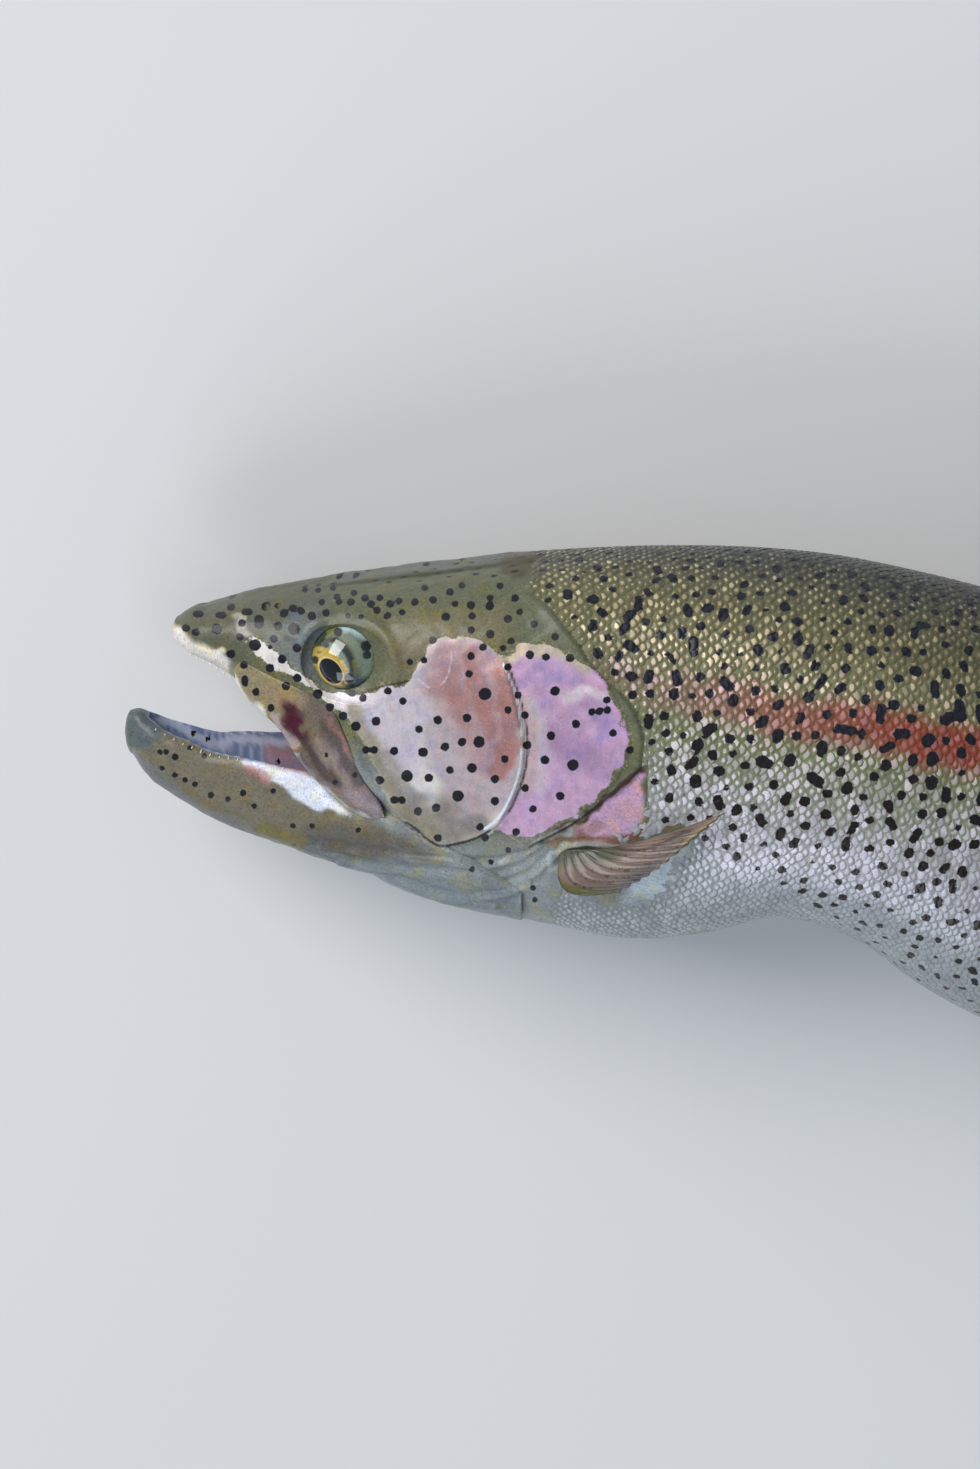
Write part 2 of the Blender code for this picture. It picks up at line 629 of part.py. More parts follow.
def eyes(parts):
    """The two eyeballs."""
    for side, word in ((1, "left"), (-1, "right")):
        centre = (EYE_PLACE[0], side * EYE_PLACE[1], EYE_PLACE[2])
        name = f"eye_{word}"
        parts[name] = ball(name, centre, [EYE_RADIUS] * 3, colour=EYE_DARK, turns=18, rows=10)


def median_fins(parts):
    """Dorsal, adipose, anal and tail fins, in the fish's middle plane."""
    flat = (0.0, 1.0, 0.0)
    rays = 12
    share = np.linspace(0, 1, rays)
    s = 213.0 + 58.0 * share
    bases = np.column_stack([s, 0 * s, smooth(BODY, 1, s) + GAP])
    tips = margin(DORSAL_MARGIN, rays)
    parts["dorsal_fin"] = fin("dorsal_fin", bases, tips, [flat] * rays, (1.6, 0.62, 0.3), bow=(-2.0, 0, 1.5))

    rays = 11
    share = np.linspace(0, 1, rays)
    s = 330.0 + 44.0 * share
    bases = np.column_stack([s, 0 * s, smooth(BODY, 2, s) - GAP])
    tips = margin(ANAL_MARGIN, rays)
    parts["anal_fin"] = fin("anal_fin", bases, tips, [flat] * rays, (1.5, 0.6, 0.3), bow=(-1.5, 0, -1.0))

    rays = 5
    share = np.linspace(0, 1, rays)
    s = 358.0 + 9.0 * share
    bases = np.column_stack([s, 0 * s, smooth(BODY, 1, s) + GAP])
    tips = margin(ADIPOSE_MARGIN, rays)
    parts["adipose_fin"] = fin("adipose_fin", bases, tips, [flat] * rays, (2.0, 1.1, 1.1), steps=6)

    rays = 17
    share = np.linspace(-1, 1, rays)
    bases = np.column_stack([np.full(rays, TRUNK_END + GAP), 0 * share, 23.0 * share])
    spread = np.sign(share) * np.abs(share) ** 0.9
    reach = TAIL_TIP - 17.0 + 17.0 * np.abs(share) ** 1.5
    tips = np.column_stack([reach, 0 * share, 55.0 * spread])
    parts["tail_fin"] = fin("tail_fin", bases, tips, [flat] * rays, (5.2, 0.6, 0.3), steps=8)


def paired_fins(parts):
    """Pectoral and pelvic fins, each on a fleshy root that sits in a socket of the body."""
    straight, curved = (0.0, 0.0, 0.0), (-0.5, 0.0, -2.0)
    long, tall, low = (9.0, 3.0, 5.8), (4.6, 3.0, 5.6), (5.8, 3.0, 3.6)
    kinds = (
        ("pectoral_fin_left", "shoulder", 1, PECTORAL_BASE_LEFT, PECTORAL_LEFT, 12, curved, -3.4, long),
        ("pectoral_fin_right", "shoulder", -1, PECTORAL_BASE_RIGHT, PECTORAL_RIGHT, 12, straight, -1.5, tall),
        ("pelvic_fin_left", "trunk", 1, PELVIC_BASE, PELVIC_LEFT, 9, straight, -1.5, low),
        ("pelvic_fin_right", "trunk", -1, PELVIC_BASE, PELVIC_RIGHT, 9, straight, -1.5, low),
    )
    for name, carrier, side, base, edge, rays, last_bow, ahead, size in kinds:
        ends = [(s, side * (float(side_reach(BODY, s, v)) + FIN_STAND_OFF), v) for s, v in base]
        bases = np.linspace(ends[0], ends[1], rays)
        tips = margin([(s, side * l, v) for s, l, v in edge], rays)
        along = (tips + bases) / 2 - bases.mean(axis=0)
        across = bases[-1] - bases[0] + (tips[-1] - tips[0]) * 0.5
        normals = np.cross(along, across)
        normals /= np.linalg.norm(normals, axis=1)[:, None]
        normals *= np.sign((normals[:, 1] * side).sum())
        bow = np.linspace((0.0, 0.0, 0.0), last_bow, rays) + (0.0, side * 1.2, 0.0)
        blade = fin(name, bases, tips, normals, (1.3, 0.55, 0.3), bow=bow)
        middle = bases.mean(axis=0) + (ahead, side * -2.2, 0)
        boolean(blade, "UNION", [ball("root", middle, size, turns=12, rows=6)])
        socket = ball("socket", middle, np.array(size) + GAP, turns=12, rows=6)
        boolean(parts[carrier], "DIFFERENCE", [socket])
        parts[name] = blade


def spine(s):
    """Place of the spine in the floor's plane at s, and its turn towards the belly in radians."""
    way = np.arange(-20.0, 540.0, 1.0)
    turn = np.radians(smooth(SPINE_TURN, 1, way))
    x = np.cumsum(np.cos(turn)) - np.cos(turn[0]) - 20.0
    y = -np.cumsum(np.sin(turn))
    return np.interp(s, way, x), np.interp(s, way, y), np.interp(s, way, turn)


def lie_down(points):
    """The straight fish's points, bent and laid on the floor, in metres."""
    s, side, v = points.T
    x, y, turn = spine(s)
    back, belly = smooth(BODY, 1, s), smooth(BODY, 2, s)
    past = np.clip(np.maximum(v - back, belly - v), 0, None) * (s > 120) * (s < TRUNK_END)
    sag = FIN_SAG * (past / FIN_SAG_SPAN) ** 2
    height = smooth(LIE_HEIGHT, 1, s) + side - sag
    return np.column_stack([x + v * np.sin(turn), y + v * np.cos(turn), height]) * MM


def place(parts):
    """Lays every piece down, trims it flat where it meets the floor and sets the origin under the middle."""
    for obj in parts.values():
        count = len(obj.data.vertices)
        flat = np.empty(count * 3)
        obj.data.vertices.foreach_get("co", flat)
        points = lie_down(flat.reshape(-1, 3) / MM)
        obj.data.vertices.foreach_set("co", points.ravel())
        obj.data.flip_normals()
        if points[:, 2].min() < 0:
            boolean(obj, "INTERSECT", [block((-100, -300, 0), (700, 300, 300))])
    corners = np.array([corner(obj, pick) for obj in parts.values() for pick in (min, max)])
    middle = (corners.min(axis=0) + corners.max(axis=0)) / 2
    for obj in parts.values():
        for vert in obj.data.vertices:
            vert.co.x -= middle[0]
            vert.co.y -= middle[1]
        obj.data.shade_smooth()
        obj.data.set_sharp_from_angle(angle=math.radians(40))


def corner(obj, pick):
    """The lowest or highest corner of an object's box."""
    return [pick(vert.co[axis] for vert in obj.data.vertices) for axis in range(3)]


def main():
    for obj in list(bpy.data.objects):
        bpy.data.objects.remove(obj)
    flesh = whole_flesh()
    parts = flesh_parts(flesh)
    bpy.data.objects.remove(flesh)
    head_plates(parts)
    jaw_details(parts)
    throat_ridges(parts)
    eyes(parts)
    median_fins(parts)
    paired_fins(parts)
    place(parts)


main()
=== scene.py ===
import math

import bpy
import numpy as np
from mathutils import Matrix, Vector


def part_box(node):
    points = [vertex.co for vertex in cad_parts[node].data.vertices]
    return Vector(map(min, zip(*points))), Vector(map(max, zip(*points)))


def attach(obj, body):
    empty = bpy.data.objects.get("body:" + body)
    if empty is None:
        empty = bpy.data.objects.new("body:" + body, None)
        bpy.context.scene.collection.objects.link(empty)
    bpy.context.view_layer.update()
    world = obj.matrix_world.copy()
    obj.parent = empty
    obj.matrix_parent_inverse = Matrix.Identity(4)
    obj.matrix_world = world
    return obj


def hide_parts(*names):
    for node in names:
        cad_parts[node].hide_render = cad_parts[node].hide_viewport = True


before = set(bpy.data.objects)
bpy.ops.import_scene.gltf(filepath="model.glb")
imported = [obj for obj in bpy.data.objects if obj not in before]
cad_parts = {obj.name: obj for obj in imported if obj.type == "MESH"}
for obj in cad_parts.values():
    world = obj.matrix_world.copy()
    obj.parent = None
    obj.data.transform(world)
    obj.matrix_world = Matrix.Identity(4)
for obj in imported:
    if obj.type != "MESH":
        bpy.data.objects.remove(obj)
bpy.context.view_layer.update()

# The looks of a rainbow trout that lies on its right side. As in the part's source, the fish is drawn
# straight, in millimetres: s runs from the snout to the tail, l towards its left side and v towards its
# back. lie_down() bends it and lays it on the floor, in metres.
MM = 0.001

# Lengths along the fish, and how far the skin drops at the edge of the scales
TRUNK_END = 456.0
TAIL_TIP = 520.0
HEAD_SKIN_END = 137.0
TRUNK_SKIN_START = 131.0
SCALE_DEPTH = 0.35

# How far every piece stays above the floor, in metres
FLOOR_CLEARANCE = 0.0002

# Sections: s, back, belly, half width, level of the widest point, fullness above it and below it. These
# heights of the head and shoulder were not drawn freely, but fitted to the outline in the photograph: the
# back of BODY from s 2.4 to 208, its belly from s 85 to 208, and the lower edge of JAW from s -13.2 to 75
BODY = (
    (-0.9, 31.0, 24.0, 5.6, 27.4, 2.2, 2.0),
    (2.4, 33.3, 22.2, 8.6, 27.2, 2.4, 2.1),
    (7.2, 34.2, 20.4, 11.0, 26.4, 2.6, 2.3),
    (13.0, 35.6, 17.0, 13.0, 25.3, 2.8, 2.6),
    (18.0, 37.0, 13.5, 14.8, 22.5, 2.9, 3.0),
    (28.0, 38.6, 4.0, 18.4, 16.0, 3.1, 3.4),
    (37.0, 39.5, -6.0, 21.2, 12.0, 3.3, 3.4),
    (45.0, 40.3, -13.5, 23.5, 9.0, 3.4, 3.2),
    (54.0, 41.5, -22.0, 25.8, 6.0, 3.5, 2.8),
    (63.0, 42.6, -37.0, 27.7, 3.0, 3.5, 2.4),
    (73.0, 43.9, -47.0, 29.5, 1.0, 3.3, 2.2),
    (85.0, 46.0, -50.8, 31.5, -1.0, 2.9, 2.1),
    (100.0, 48.6, -53.7, 33.3, -2.0, 2.5, 2.0),
    (120.0, 51.7, -55.9, 35.0, -1.0, 2.25, 2.0),
    (145.0, 54.5, -50.1, 38.2, -1.0, 2.1, 2.0),
    (162.0, 55.6, -42.5, 40.2, -1.0, 2.05, 2.0),
    (185.0, 55.1, -44.2, 41.8, -2.0, 2.05, 2.0),
    (208.0, 53.8, -53.8, 42.5, -3.0, 2.0, 2.0),
    (235.0, 51.2, -60.6, 42.3, -3.0, 2.0, 2.0),
    (265.0, 47.0, -58.5, 40.0, -3.0, 2.0, 2.0),
    (300.0, 41.0, -51.0, 34.5, -2.5, 2.0, 2.0),
    (335.0, 34.0, -41.0, 27.0, -2.0, 2.0, 2.0),
    (370.0, 27.5, -30.5, 19.5, -1.0, 2.0, 2.0),
    (400.0, 23.4, -24.4, 14.5, 0.0, 2.0, 2.0),
    (430.0, 21.6, -21.8, 10.6, 0.0, 2.0, 2.0),
    (448.0, 22.6, -22.6, 7.2, 0.0, 2.0, 2.0),
    (TRUNK_END, 23.4, -23.4, 4.8, 0.0, 2.0, 2.0),
    (TRUNK_END + 5.0, 23.6, -23.6, 3.6, 0.0, 2.0, 2.0),
)
JAW = (
    (-14.6, 4.6, -7.4, 3.6, -2.2, 2.3, 2.0),
    (-13.2, 5.0, -10.2, 4.8, -3.6, 2.6, 2.0),
    (-10.0, 3.6, -14.4, 6.2, -5.2, 3.0, 2.0),
    (-5.0, 1.0, -18.2, 7.6, -7.2, 3.3, 2.0),
    (0.0, -0.8, -21.6, 8.8, -9.8, 3.7, 2.0),
    (6.5, -2.8, -25.6, 10.2, -12.0, 4.0, 2.0),
    (17.0, -3.2, -29.8, 12.6, -15.0, 4.0, 2.0),
    (30.0, -3.8, -34.2, 15.8, -18.0, 4.0, 2.0),
    (45.0, -8.5, -39.2, 20.2, -21.0, 3.4, 2.0),
    (60.0, -14.5, -44.8, 24.0, -24.0, 2.8, 2.0),
    (75.0, -22.0, -49.4, 26.6, -28.0, 2.4, 2.0),
    (90.0, -30.0, -51.8, 24.0, -36.0, 2.2, 2.0),
)
MOUTH = (
    (-10.0, 7.0, -3.0, 2.2, 2.0, 2.0, 2.2),
    (-5.6, 14.0, -8.0, 4.2, 4.0, 2.0, 2.4),
    (2.0, 25.8, -13.0, 6.2, 6.0, 2.2, 2.6),
    (9.0, 25.6, -16.5, 8.2, 6.0, 2.6, 2.8),
    (18.0, 24.0, -20.0, 10.6, 4.0, 3.0, 3.0),
    (30.0, 16.5, -23.5, 13.6, -1.0, 3.2, 3.0),
    (42.0, 6.5, -25.0, 15.0, -6.0, 3.0, 2.8),
    (52.0, -4.0, -23.0, 12.0, -12.0, 2.4, 2.4),
    (60.0, -13.0, -18.0, 5.0, -15.5, 2.0, 2.0),
)
# Foremost points of the snout and the chin, and the tongue as s, half width and height over its bed
SNOUT_TIP = (-2.6, 0.0, 27.2)
CHIN_TIP = (-16.4, 0.0, -1.8)
TONGUE = ((2.0, 3.0, 2.2), (6.0, 5.2, 3.4), (16.0, 6.6, 4.6), (30.0, 7.6, 5.6), (46.0, 8.0, 6.4))

# Spine: how far it turns towards the belly, in degrees, and the height of the middle plane over the floor
SPINE_TURN = (
    (-20.0, 0.0), (80.0, 0.0), (100.0, 2.6), (118.0, 4.6), (135.0, 5.4), (160.0, 8.0), (185.0, 10.5),
    (208.0, 13.0), (235.0, 14.5), (300.0, 13.5), (400.0, 10.0), (530.0, 7.0),
)
LIE_HEIGHT = (
    (-20.0, 27.2), (0.0, 28.5), (45.0, 31.3), (85.0, 33.8), (120.0, 35.4), (145.0, 37.4), (185.0, 41.0),
    (208.0, 41.7), (235.0, 41.5), (265.0, 39.2), (300.0, 33.7), (335.0, 26.2), (370.0, 18.7),
    (400.0, 13.7), (430.0, 9.8), (TRUNK_END, 5.9), (480.0, 3.2), (500.0, 1.5), (530.0, 0.35),
)
FIN_SAG = 6.0
FIN_SAG_SPAN = 50.0

# Maxilla's edges as (s, v), eye, orbit, and nostrils as (s, l, v, radius). Edges and nostrils were worked
# back from their pixels in the photograph
MAXILLA_TOP = (
    (15.0, 25.0), (25.5, 20.8), (33.0, 18.2), (39.8, 14.2), (44.2, 4.8), (48.2, -6.5), (53.8, -14.4),
)
MAXILLA_LOW = (
    (14.0, 18.0), (18.5, 13.0), (26.2, 6.2), (30.4, -1.2), (37.2, -9.8), (44.6, -16.2), (51.6, -18.6),
)
EYE_RADIUS = 9.4
SOCKET_GAP = 0.15
EYE_PLACE = (44.7, 14.4, 25.8)
ORBIT_SIZE = (12.0, 5.2, 11.4)
ORBIT_PLACE = (44.7, 23.4, 25.8)
ORBIT_LEAN = (0.28, -0.25)
GAZE = (-0.68, 0.728, -0.138)
NOSTRILS = ((23.4, 8.4, 37.2, 1.3), (26.6, 9.2, 37.6, 0.9))

# The photograph: its size in pixels, and the camera's tilt from straight down and its distance in metres
PHOTO_WIDTH, PHOTO_HEIGHT = 980, 1469
LENS, SENSOR = 80.0, 36.0
CAMERA_TILT = math.radians(21.0)
CAMERA_DISTANCE = 0.8435
PIXELS_PER_MM = 3.87
EYE_PIXEL = (348.0, 655.0)

RIGHT = np.array((1.0, 0.0, 0.0))
UP = np.array((0.0, math.cos(CAMERA_TILT), -math.sin(CAMERA_TILT)))
TOWARD = np.array((0.0, math.sin(CAMERA_TILT), math.cos(CAMERA_TILT)))


def smooth(rows, column, s):
    """The table's column as a smooth curve through its rows, read at s, and held level past both ends."""
    x = np.array([row[0] for row in rows])
    y = np.array([row[column] for row in rows])
    step = np.diff(x)
    rise = np.diff(y) / step
    slope = np.empty(len(x))
    slope[1:-1] = (rise[:-1] * step[1:] + rise[1:] * step[:-1]) / (step[1:] + step[:-1])
    slope[0], slope[-1] = rise[0], rise[-1]
    s = np.clip(s, x[0], x[-1])
    i = np.clip(np.searchsorted(x, s) - 1, 0, len(x) - 2)
    t = (s - x[i]) / step[i]
    return (
        y[i] * (1 + 2 * t) * (1 - t) ** 2
        + slope[i] * step[i] * t * (1 - t) ** 2
        + y[i + 1] * t**2 * (3 - 2 * t)
        + slope[i + 1] * step[i] * t**2 * (t - 1)
    )


def section(profile, s):
    """Back, belly, half width, widest level and the two fullnesses at s."""
    return [smooth(profile, column, s) for column in range(1, 7)]


def spine(s):
    """Place of the spine in the floor's plane at s, and its turn towards the belly in radians."""
    way = np.arange(-20.0, 540.0, 1.0)
    turn = np.radians(smooth(SPINE_TURN, 1, way))
    x = np.cumsum(np.cos(turn)) - np.cos(turn[0]) - 20.0
    y = -np.cumsum(np.sin(turn))
    return np.interp(s, way, x), np.interp(s, way, y), np.interp(s, way, turn)


def lie_down(points):
    """The straight fish's points, bent and laid on the floor, in metres."""
    s, side, v = points.T
    x, y, turn = spine(s)
    back, belly = smooth(BODY, 1, s), smooth(BODY, 2, s)
    past = np.clip(np.maximum(v - back, belly - v), 0, None) * (s > 120) * (s < TRUNK_END)
    sag = FIN_SAG * (past / FIN_SAG_SPAN) ** 2
    height = smooth(LIE_HEIGHT, 1, s) + side - sag
    return np.column_stack([x + v * np.sin(turn), y + v * np.cos(turn), height]) * MM


EYE_BOX = [np.array(corner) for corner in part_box("eye_left")]
EYE_CENTRE = (EYE_BOX[0] + EYE_BOX[1]) / 2
SHIFT = EYE_CENTRE - lie_down(np.array([EYE_PLACE]))[0]
SHIFT[2] = 0.0
VIEW_CENTRE = EYE_CENTRE + (
    RIGHT * (PHOTO_WIDTH / 2 - EYE_PIXEL[0]) + UP * (EYE_PIXEL[1] - PHOTO_HEIGHT / 2)
) / (PIXELS_PER_MM / MM)
CAMERA_PLACE = VIEW_CENTRE + TOWARD * CAMERA_DISTANCE


def photo(points):
    """Where straight points fall in the photograph, in pixels, and how near the camera they are."""
    reach = lie_down(points) + SHIFT - CAMERA_PLACE
    depth = -reach @ TOWARD
    focus = LENS / SENSOR * PHOTO_HEIGHT
    across = PHOTO_WIDTH / 2 + reach @ RIGHT / depth * focus
    down = PHOTO_HEIGHT / 2 - reach @ UP / depth * focus
    return np.column_stack([across, down]), -depth


def chart(points):
    """The pixel of each point's twin on the left side, so both sides carry the same pattern."""
    return photo(points * (1, 0, 1) + np.abs(points) * (0, 1, 0))[0]


def ease(value, low, high):
    """0 below low, 1 above high and smooth between."""
    t = np.clip((value - low) / (high - low), 0, 1)
    return t * t * (3 - 2 * t)


def waves(points, size, seed):
    """A smooth random field, about -1 to 1, with ripples about size across."""
    draw = np.random.default_rng(seed)
    total = 0.0
    for _ in range(9):
        way = draw.normal(size=points.shape[1])
        way *= 2 * math.pi / (size * draw.uniform(0.8, 1.6)) / np.linalg.norm(way)
        total = total + np.sin(points @ way + draw.uniform(0, 2 * math.pi))
    return total / 3.2


def edge_points(outline, count):
    """count points spaced evenly along a smooth line through the outline's points."""
    knots = np.array(outline, float)
    way = np.concatenate([[0.0], np.cumsum(np.linalg.norm(np.diff(knots, axis=0), axis=1))])
    rows = np.column_stack([way, knots])
    t = np.linspace(0, way[-1], count)
    return np.column_stack([smooth(rows, column, t) for column in range(1, rows.shape[1])])


def line_distance(where, knots, reach=60.0):
    """Signed distance in mm from pixels to a smooth line, and the share of the way along it.

    It is positive on the left of a line that runs down the photograph. Past reach pixels it stays level.
    """
    path = edge_points(knots, 6 * len(knots))
    way = np.concatenate([[0.0], np.cumsum(np.linalg.norm(np.diff(path, axis=0), axis=1))])
    best = np.full(len(where), reach)
    share = np.zeros(len(where))
    near = np.all((where > path.min(0) - reach) & (where < path.max(0) + reach), axis=1)
    spots = where[near]
    closest, sign, along = np.full(len(spots), 1e9), np.ones(len(spots)), np.zeros(len(spots))
    for start, end, begun in zip(path, path[1:], way):
        step = end - start
        length = np.linalg.norm(step)
        off = spots - start
        t = np.clip(off @ step / length**2, 0, 1)
        gap = np.linalg.norm(off - t[:, None] * step, axis=1)
        nearer = gap < closest
        closest[nearer] = gap[nearer]
        sign[nearer] = np.where(step[0] * off[:, 1] - step[1] * off[:, 0] < 0, 1, -1)[nearer]
        along[nearer] = (begun + t * length)[nearer]
    best[near] = np.minimum(closest, reach) * -sign
    share[near] = along / way[-1]
    return best / PIXELS_PER_MM, share


def region_gap(where, corners):
    """Signed distance in pixels from each place to the edge of a region, positive inside it."""
    path = np.array(corners, float)
    gap = np.full(len(where), 1e9)
    crossings = np.zeros(len(where), int)
    for start, end in zip(path, np.roll(path, -1, axis=0)):
        step, off = end - start, where - start
        t = np.clip(off @ step / (step @ step), 0, 1)
        gap = np.minimum(gap, np.linalg.norm(off - t[:, None] * step, axis=1))
        spans = (start[1] > where[:, 1]) != (end[1] > where[:, 1])
        rise = step[1] if step[1] else 1e-9
        crossings += spans & (where[:, 0] < start[0] + step[0] * (where[:, 1] - start[1]) / rise)
    return np.where(crossings % 2 == 1, gap, -gap)


def inside(where, corners, soft):
    """1 inside a region of the photograph and 0 outside, soft pixels wide at its edge."""
    return ease(region_gap(where, corners), -soft, soft)


# Lines of the head, in pixels of the photograph
CHEEK_EDGE = (
    (504, 655), (513, 690), (520, 720), (524, 742), (522, 770), (512, 800), (497, 825), (480, 836),
)
CHEEK_FOLD = ((497, 826), (480, 836), (455, 844), (440, 846), (428, 840), (415, 828), (398, 818))
GILL_EDGE = (
    (512, 585), (545, 605), (567, 632), (600, 675), (632, 708), (643, 745), (640, 766), (600, 803),
    (560, 831), (520, 853), (498, 870),
)
COVER_EDGE = (
    (560, 648), (585, 661), (605, 680), (618, 705), (629, 735), (626, 760), (601, 795), (566, 820),
    (518, 841),
)
SCALE_FRONT = (
    (546, 520), (540, 560), (533, 592), (555, 610), (586, 644), (612, 680), (640, 712), (650, 750),
    (648, 790), (652, 822), (640, 836), (600, 850), (575, 870), (560, 900), (550, 945),
)
ARMPIT = (
    (553, 850), (600, 846), (640, 836), (680, 822), (696, 834), (688, 866), (670, 896), (640, 906),
    (600, 908), (565, 892),
)
FIN_FOLD = ((550, 872), (555, 855), (566, 846), (582, 843), (602, 845), (624, 848))
THROAT_LINES = (
    ((300, 848), (340, 860), (380, 870), (420, 875), (460, 878), (500, 888), (530, 878), (552, 858)),
    ((340, 862), (380, 873), (410, 887), (440, 897), (470, 900), (500, 896), (530, 885)),
    ((375, 880), (400, 884), (430, 895), (460, 904), (495, 908)),
    ((320, 846), (360, 853), (400, 858), (440, 862), (480, 866), (510, 862), (540, 845)),
)
MAXILLA_FOLD = ((338, 712), (352, 738), (362, 765), (378, 792), (393, 806), (396, 826))

# Edges of plates: line, rise and how far it fades, drop and how far it recovers, in mm
LEDGES = (
    (CHEEK_EDGE, 0.9, 5.0, 0.7, 1.6),
    (CHEEK_FOLD, 0.5, 3.0, 0.6, 1.2),
    (GILL_EDGE, 1.1, 4.0, 0.3, 1.0),
    (COVER_EDGE, 0.5, 3.0, 0.35, 1.0),
)
# Folds of skin: line, height and width in mm
FOLDS = ((MAXILLA_FOLD, 0.9, 1.1), (FIN_FOLD, 1.1, 0.8))


def ledge(gap, share, rise, fade, drop, recover):
    """A plate's edge: proud by rise on its own side, with a groove of depth drop beyond it."""
    ends = np.clip(np.sin(math.pi * np.clip(share, 0.02, 0.98)) * 3, 0, 1)
    own = rise * np.exp(-np.clip(gap, 0, None) / fade) * ease(gap, -0.25, 0.35)
    other = drop * np.exp(-np.clip(-gap, 0, None) / recover) * ease(-gap, -0.25, 0.35)
    return (own - other) * ends


def bare_gap(where):
    """Signed distance in mm to the edge of the scaled skin, positive on bare skin."""
    gap, _ = line_distance(where, SCALE_FRONT, 900.0)
    return np.maximum(gap, region_gap(where, ARMPIT) / PIXELS_PER_MM)


def relief(points):
    """How far the skin of the head stands off its smooth form, in mm."""
    where = chart(points)
    height = 0.14 * waves(points, 9.0, 3) + 0.06 * waves(points, 3.5, 4)
    for line, *shape in LEDGES:
        gap, share = line_distance(where, line)
        height += ledge(gap, share, *shape)
    for line in THROAT_LINES:
        gap, share = line_distance(where, line)
        height += 0.55 * np.exp(-((gap / 0.8) ** 2)) - 0.5 * np.exp(-(((gap + 1.5) / 0.7) ** 2))
    for line, tall, wide in FOLDS:
        gap, share = line_distance(where, line)
        height += tall * np.exp(-((gap / wide) ** 2)) * np.sin(math.pi * share)
    scaled = ease(-bare_gap(where), -0.6, 0.6) * ease(points[:, 0], 80.0, 92.0)
    s, side, v = points.T
    around = np.sqrt(((s - EYE_PLACE[0]) / 1.05) ** 2 + (v - EYE_PLACE[2]) ** 2)
    height += 0.7 * np.exp(-(((around - 12.2) / 1.5) ** 2)) * (np.abs(side) > 8)
    return height * (1 - scaled) - SCALE_DEPTH * scaled


def deselect():
    """Clears the selection, which the loaded frame leaves full."""
    bpy.ops.object.select_all(action="DESELECT")


def edit(piece, *steps):
    """Runs edit-mode steps on all of one piece. Each is an operator with its settings."""
    deselect()
    piece.select_set(True)
    bpy.context.view_layer.objects.active = piece
    bpy.ops.object.mode_set(mode="EDIT")
    bpy.ops.mesh.select_all(action="SELECT")
    for operator, settings in steps:
        operator(**settings)
    bpy.ops.object.mode_set(mode="OBJECT")


def tube(name, rings):
    """A closed skin through rings of straight points. A ring shrunk to a point or a line closes an end."""
    rows, around = rings.shape[:2]
    deselect()
    bpy.ops.mesh.primitive_grid_add(x_subdivisions=around, y_subdivisions=rows - 1)
    piece = bpy.context.active_object
    piece.name = piece.data.name = name
    closed = np.concatenate([rings, rings[:, :1]], axis=1)
    piece.data.vertices.foreach_set("co", (closed * MM).ravel())
    piece.data.uv_layers.remove(piece.data.uv_layers[0])
    edit(
        piece,
        (bpy.ops.mesh.remove_doubles, {"threshold": 2e-6}),
        (bpy.ops.mesh.normals_make_consistent, {"inside": False}),
    )
    return piece


def carve(piece, operation, others):
    """Joins closed pieces to one, or cuts them out of it, and removes them."""
    for other in others:
        modifier = piece.modifiers.new("carve", "BOOLEAN")
        modifier.operation = operation
        modifier.solver = "MANIFOLD"
        modifier.object = other
        bpy.context.view_layer.objects.active = piece
        bpy.ops.object.modifier_apply(modifier=modifier.name)
        bpy.data.objects.remove(other)
    return piece


def straight(piece):
    """The piece's points in millimetres."""
    flat = np.empty(len(piece.data.vertices) * 3, np.float32)
    piece.data.vertices.foreach_get("co", flat)
    return flat.reshape(-1, 3).astype(float) / MM


def keep(piece, name, values):
    """Stores a number or a colour for every point of a piece."""
    if values.ndim == 1:
        layer, key = piece.data.attributes.new(name, "FLOAT", "POINT"), "value"
    else:
        layer, key = piece.data.attributes.new(name, "FLOAT_COLOR", "POINT"), "color"
        values = np.column_stack([values, np.ones(len(values))])
    layer.data.foreach_set(key, values.astype(np.float32).ravel())


def lay(piece, slot, *nodes):
    """Lays a finished piece on the floor, and hides the frame's parts that it stands for."""
    posed = lie_down(straight(piece)) + SHIFT
    posed[:, 2] = np.maximum(posed[:, 2], FLOOR_CLEARANCE)
    piece.data.vertices.foreach_set("co", posed.ravel())
    piece.data.flip_normals()
    piece.data.update()
    piece.data.shade_smooth()
    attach(piece, "root")
    if nodes:
        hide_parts(*nodes)
    return piece


def half_ring(profile, s, inset=0.0, count=181):
    """The left half of a cross-section, from the belly to the back."""
    back, belly, half, level, full_up, full_low = section(profile, s)
    back, belly, half = back - inset, belly + inset, half - inset
    angle = np.linspace(-math.pi / 2, math.pi / 2, count)
    cosine, sine = np.clip(np.cos(angle), 0, 1), np.sin(angle)
    power = np.where(sine >= 0, 2 / full_up, 2 / full_low)
    reach = np.where(sine >= 0, back - level, level - belly)
    side = half * cosine**power
    height = level + reach * np.sign(sine) * np.abs(sine) ** power
    return np.column_stack([np.full(count, s), side, height])


def even(line, count):
    """count points evenly spaced along a line of points, both ends kept."""
    way = np.concatenate([[0.0], np.cumsum(np.linalg.norm(np.diff(line, axis=0), axis=1))])
    t = np.linspace(0, way[-1], count)
    return np.column_stack([np.interp(t, way, line[:, column]) for column in range(3)])


def full_ring(profile, s, left, right, inset=0.0):
    """A whole cross-section with left points on the left side and right points on the right."""
    half = half_ring(profile, s, inset)
    near = even(half, left + 1)[:-1]
    far = (even(half, right + 1) * (1, -1, 1))[::-1][:-1]
    return np.vstack([near, far])


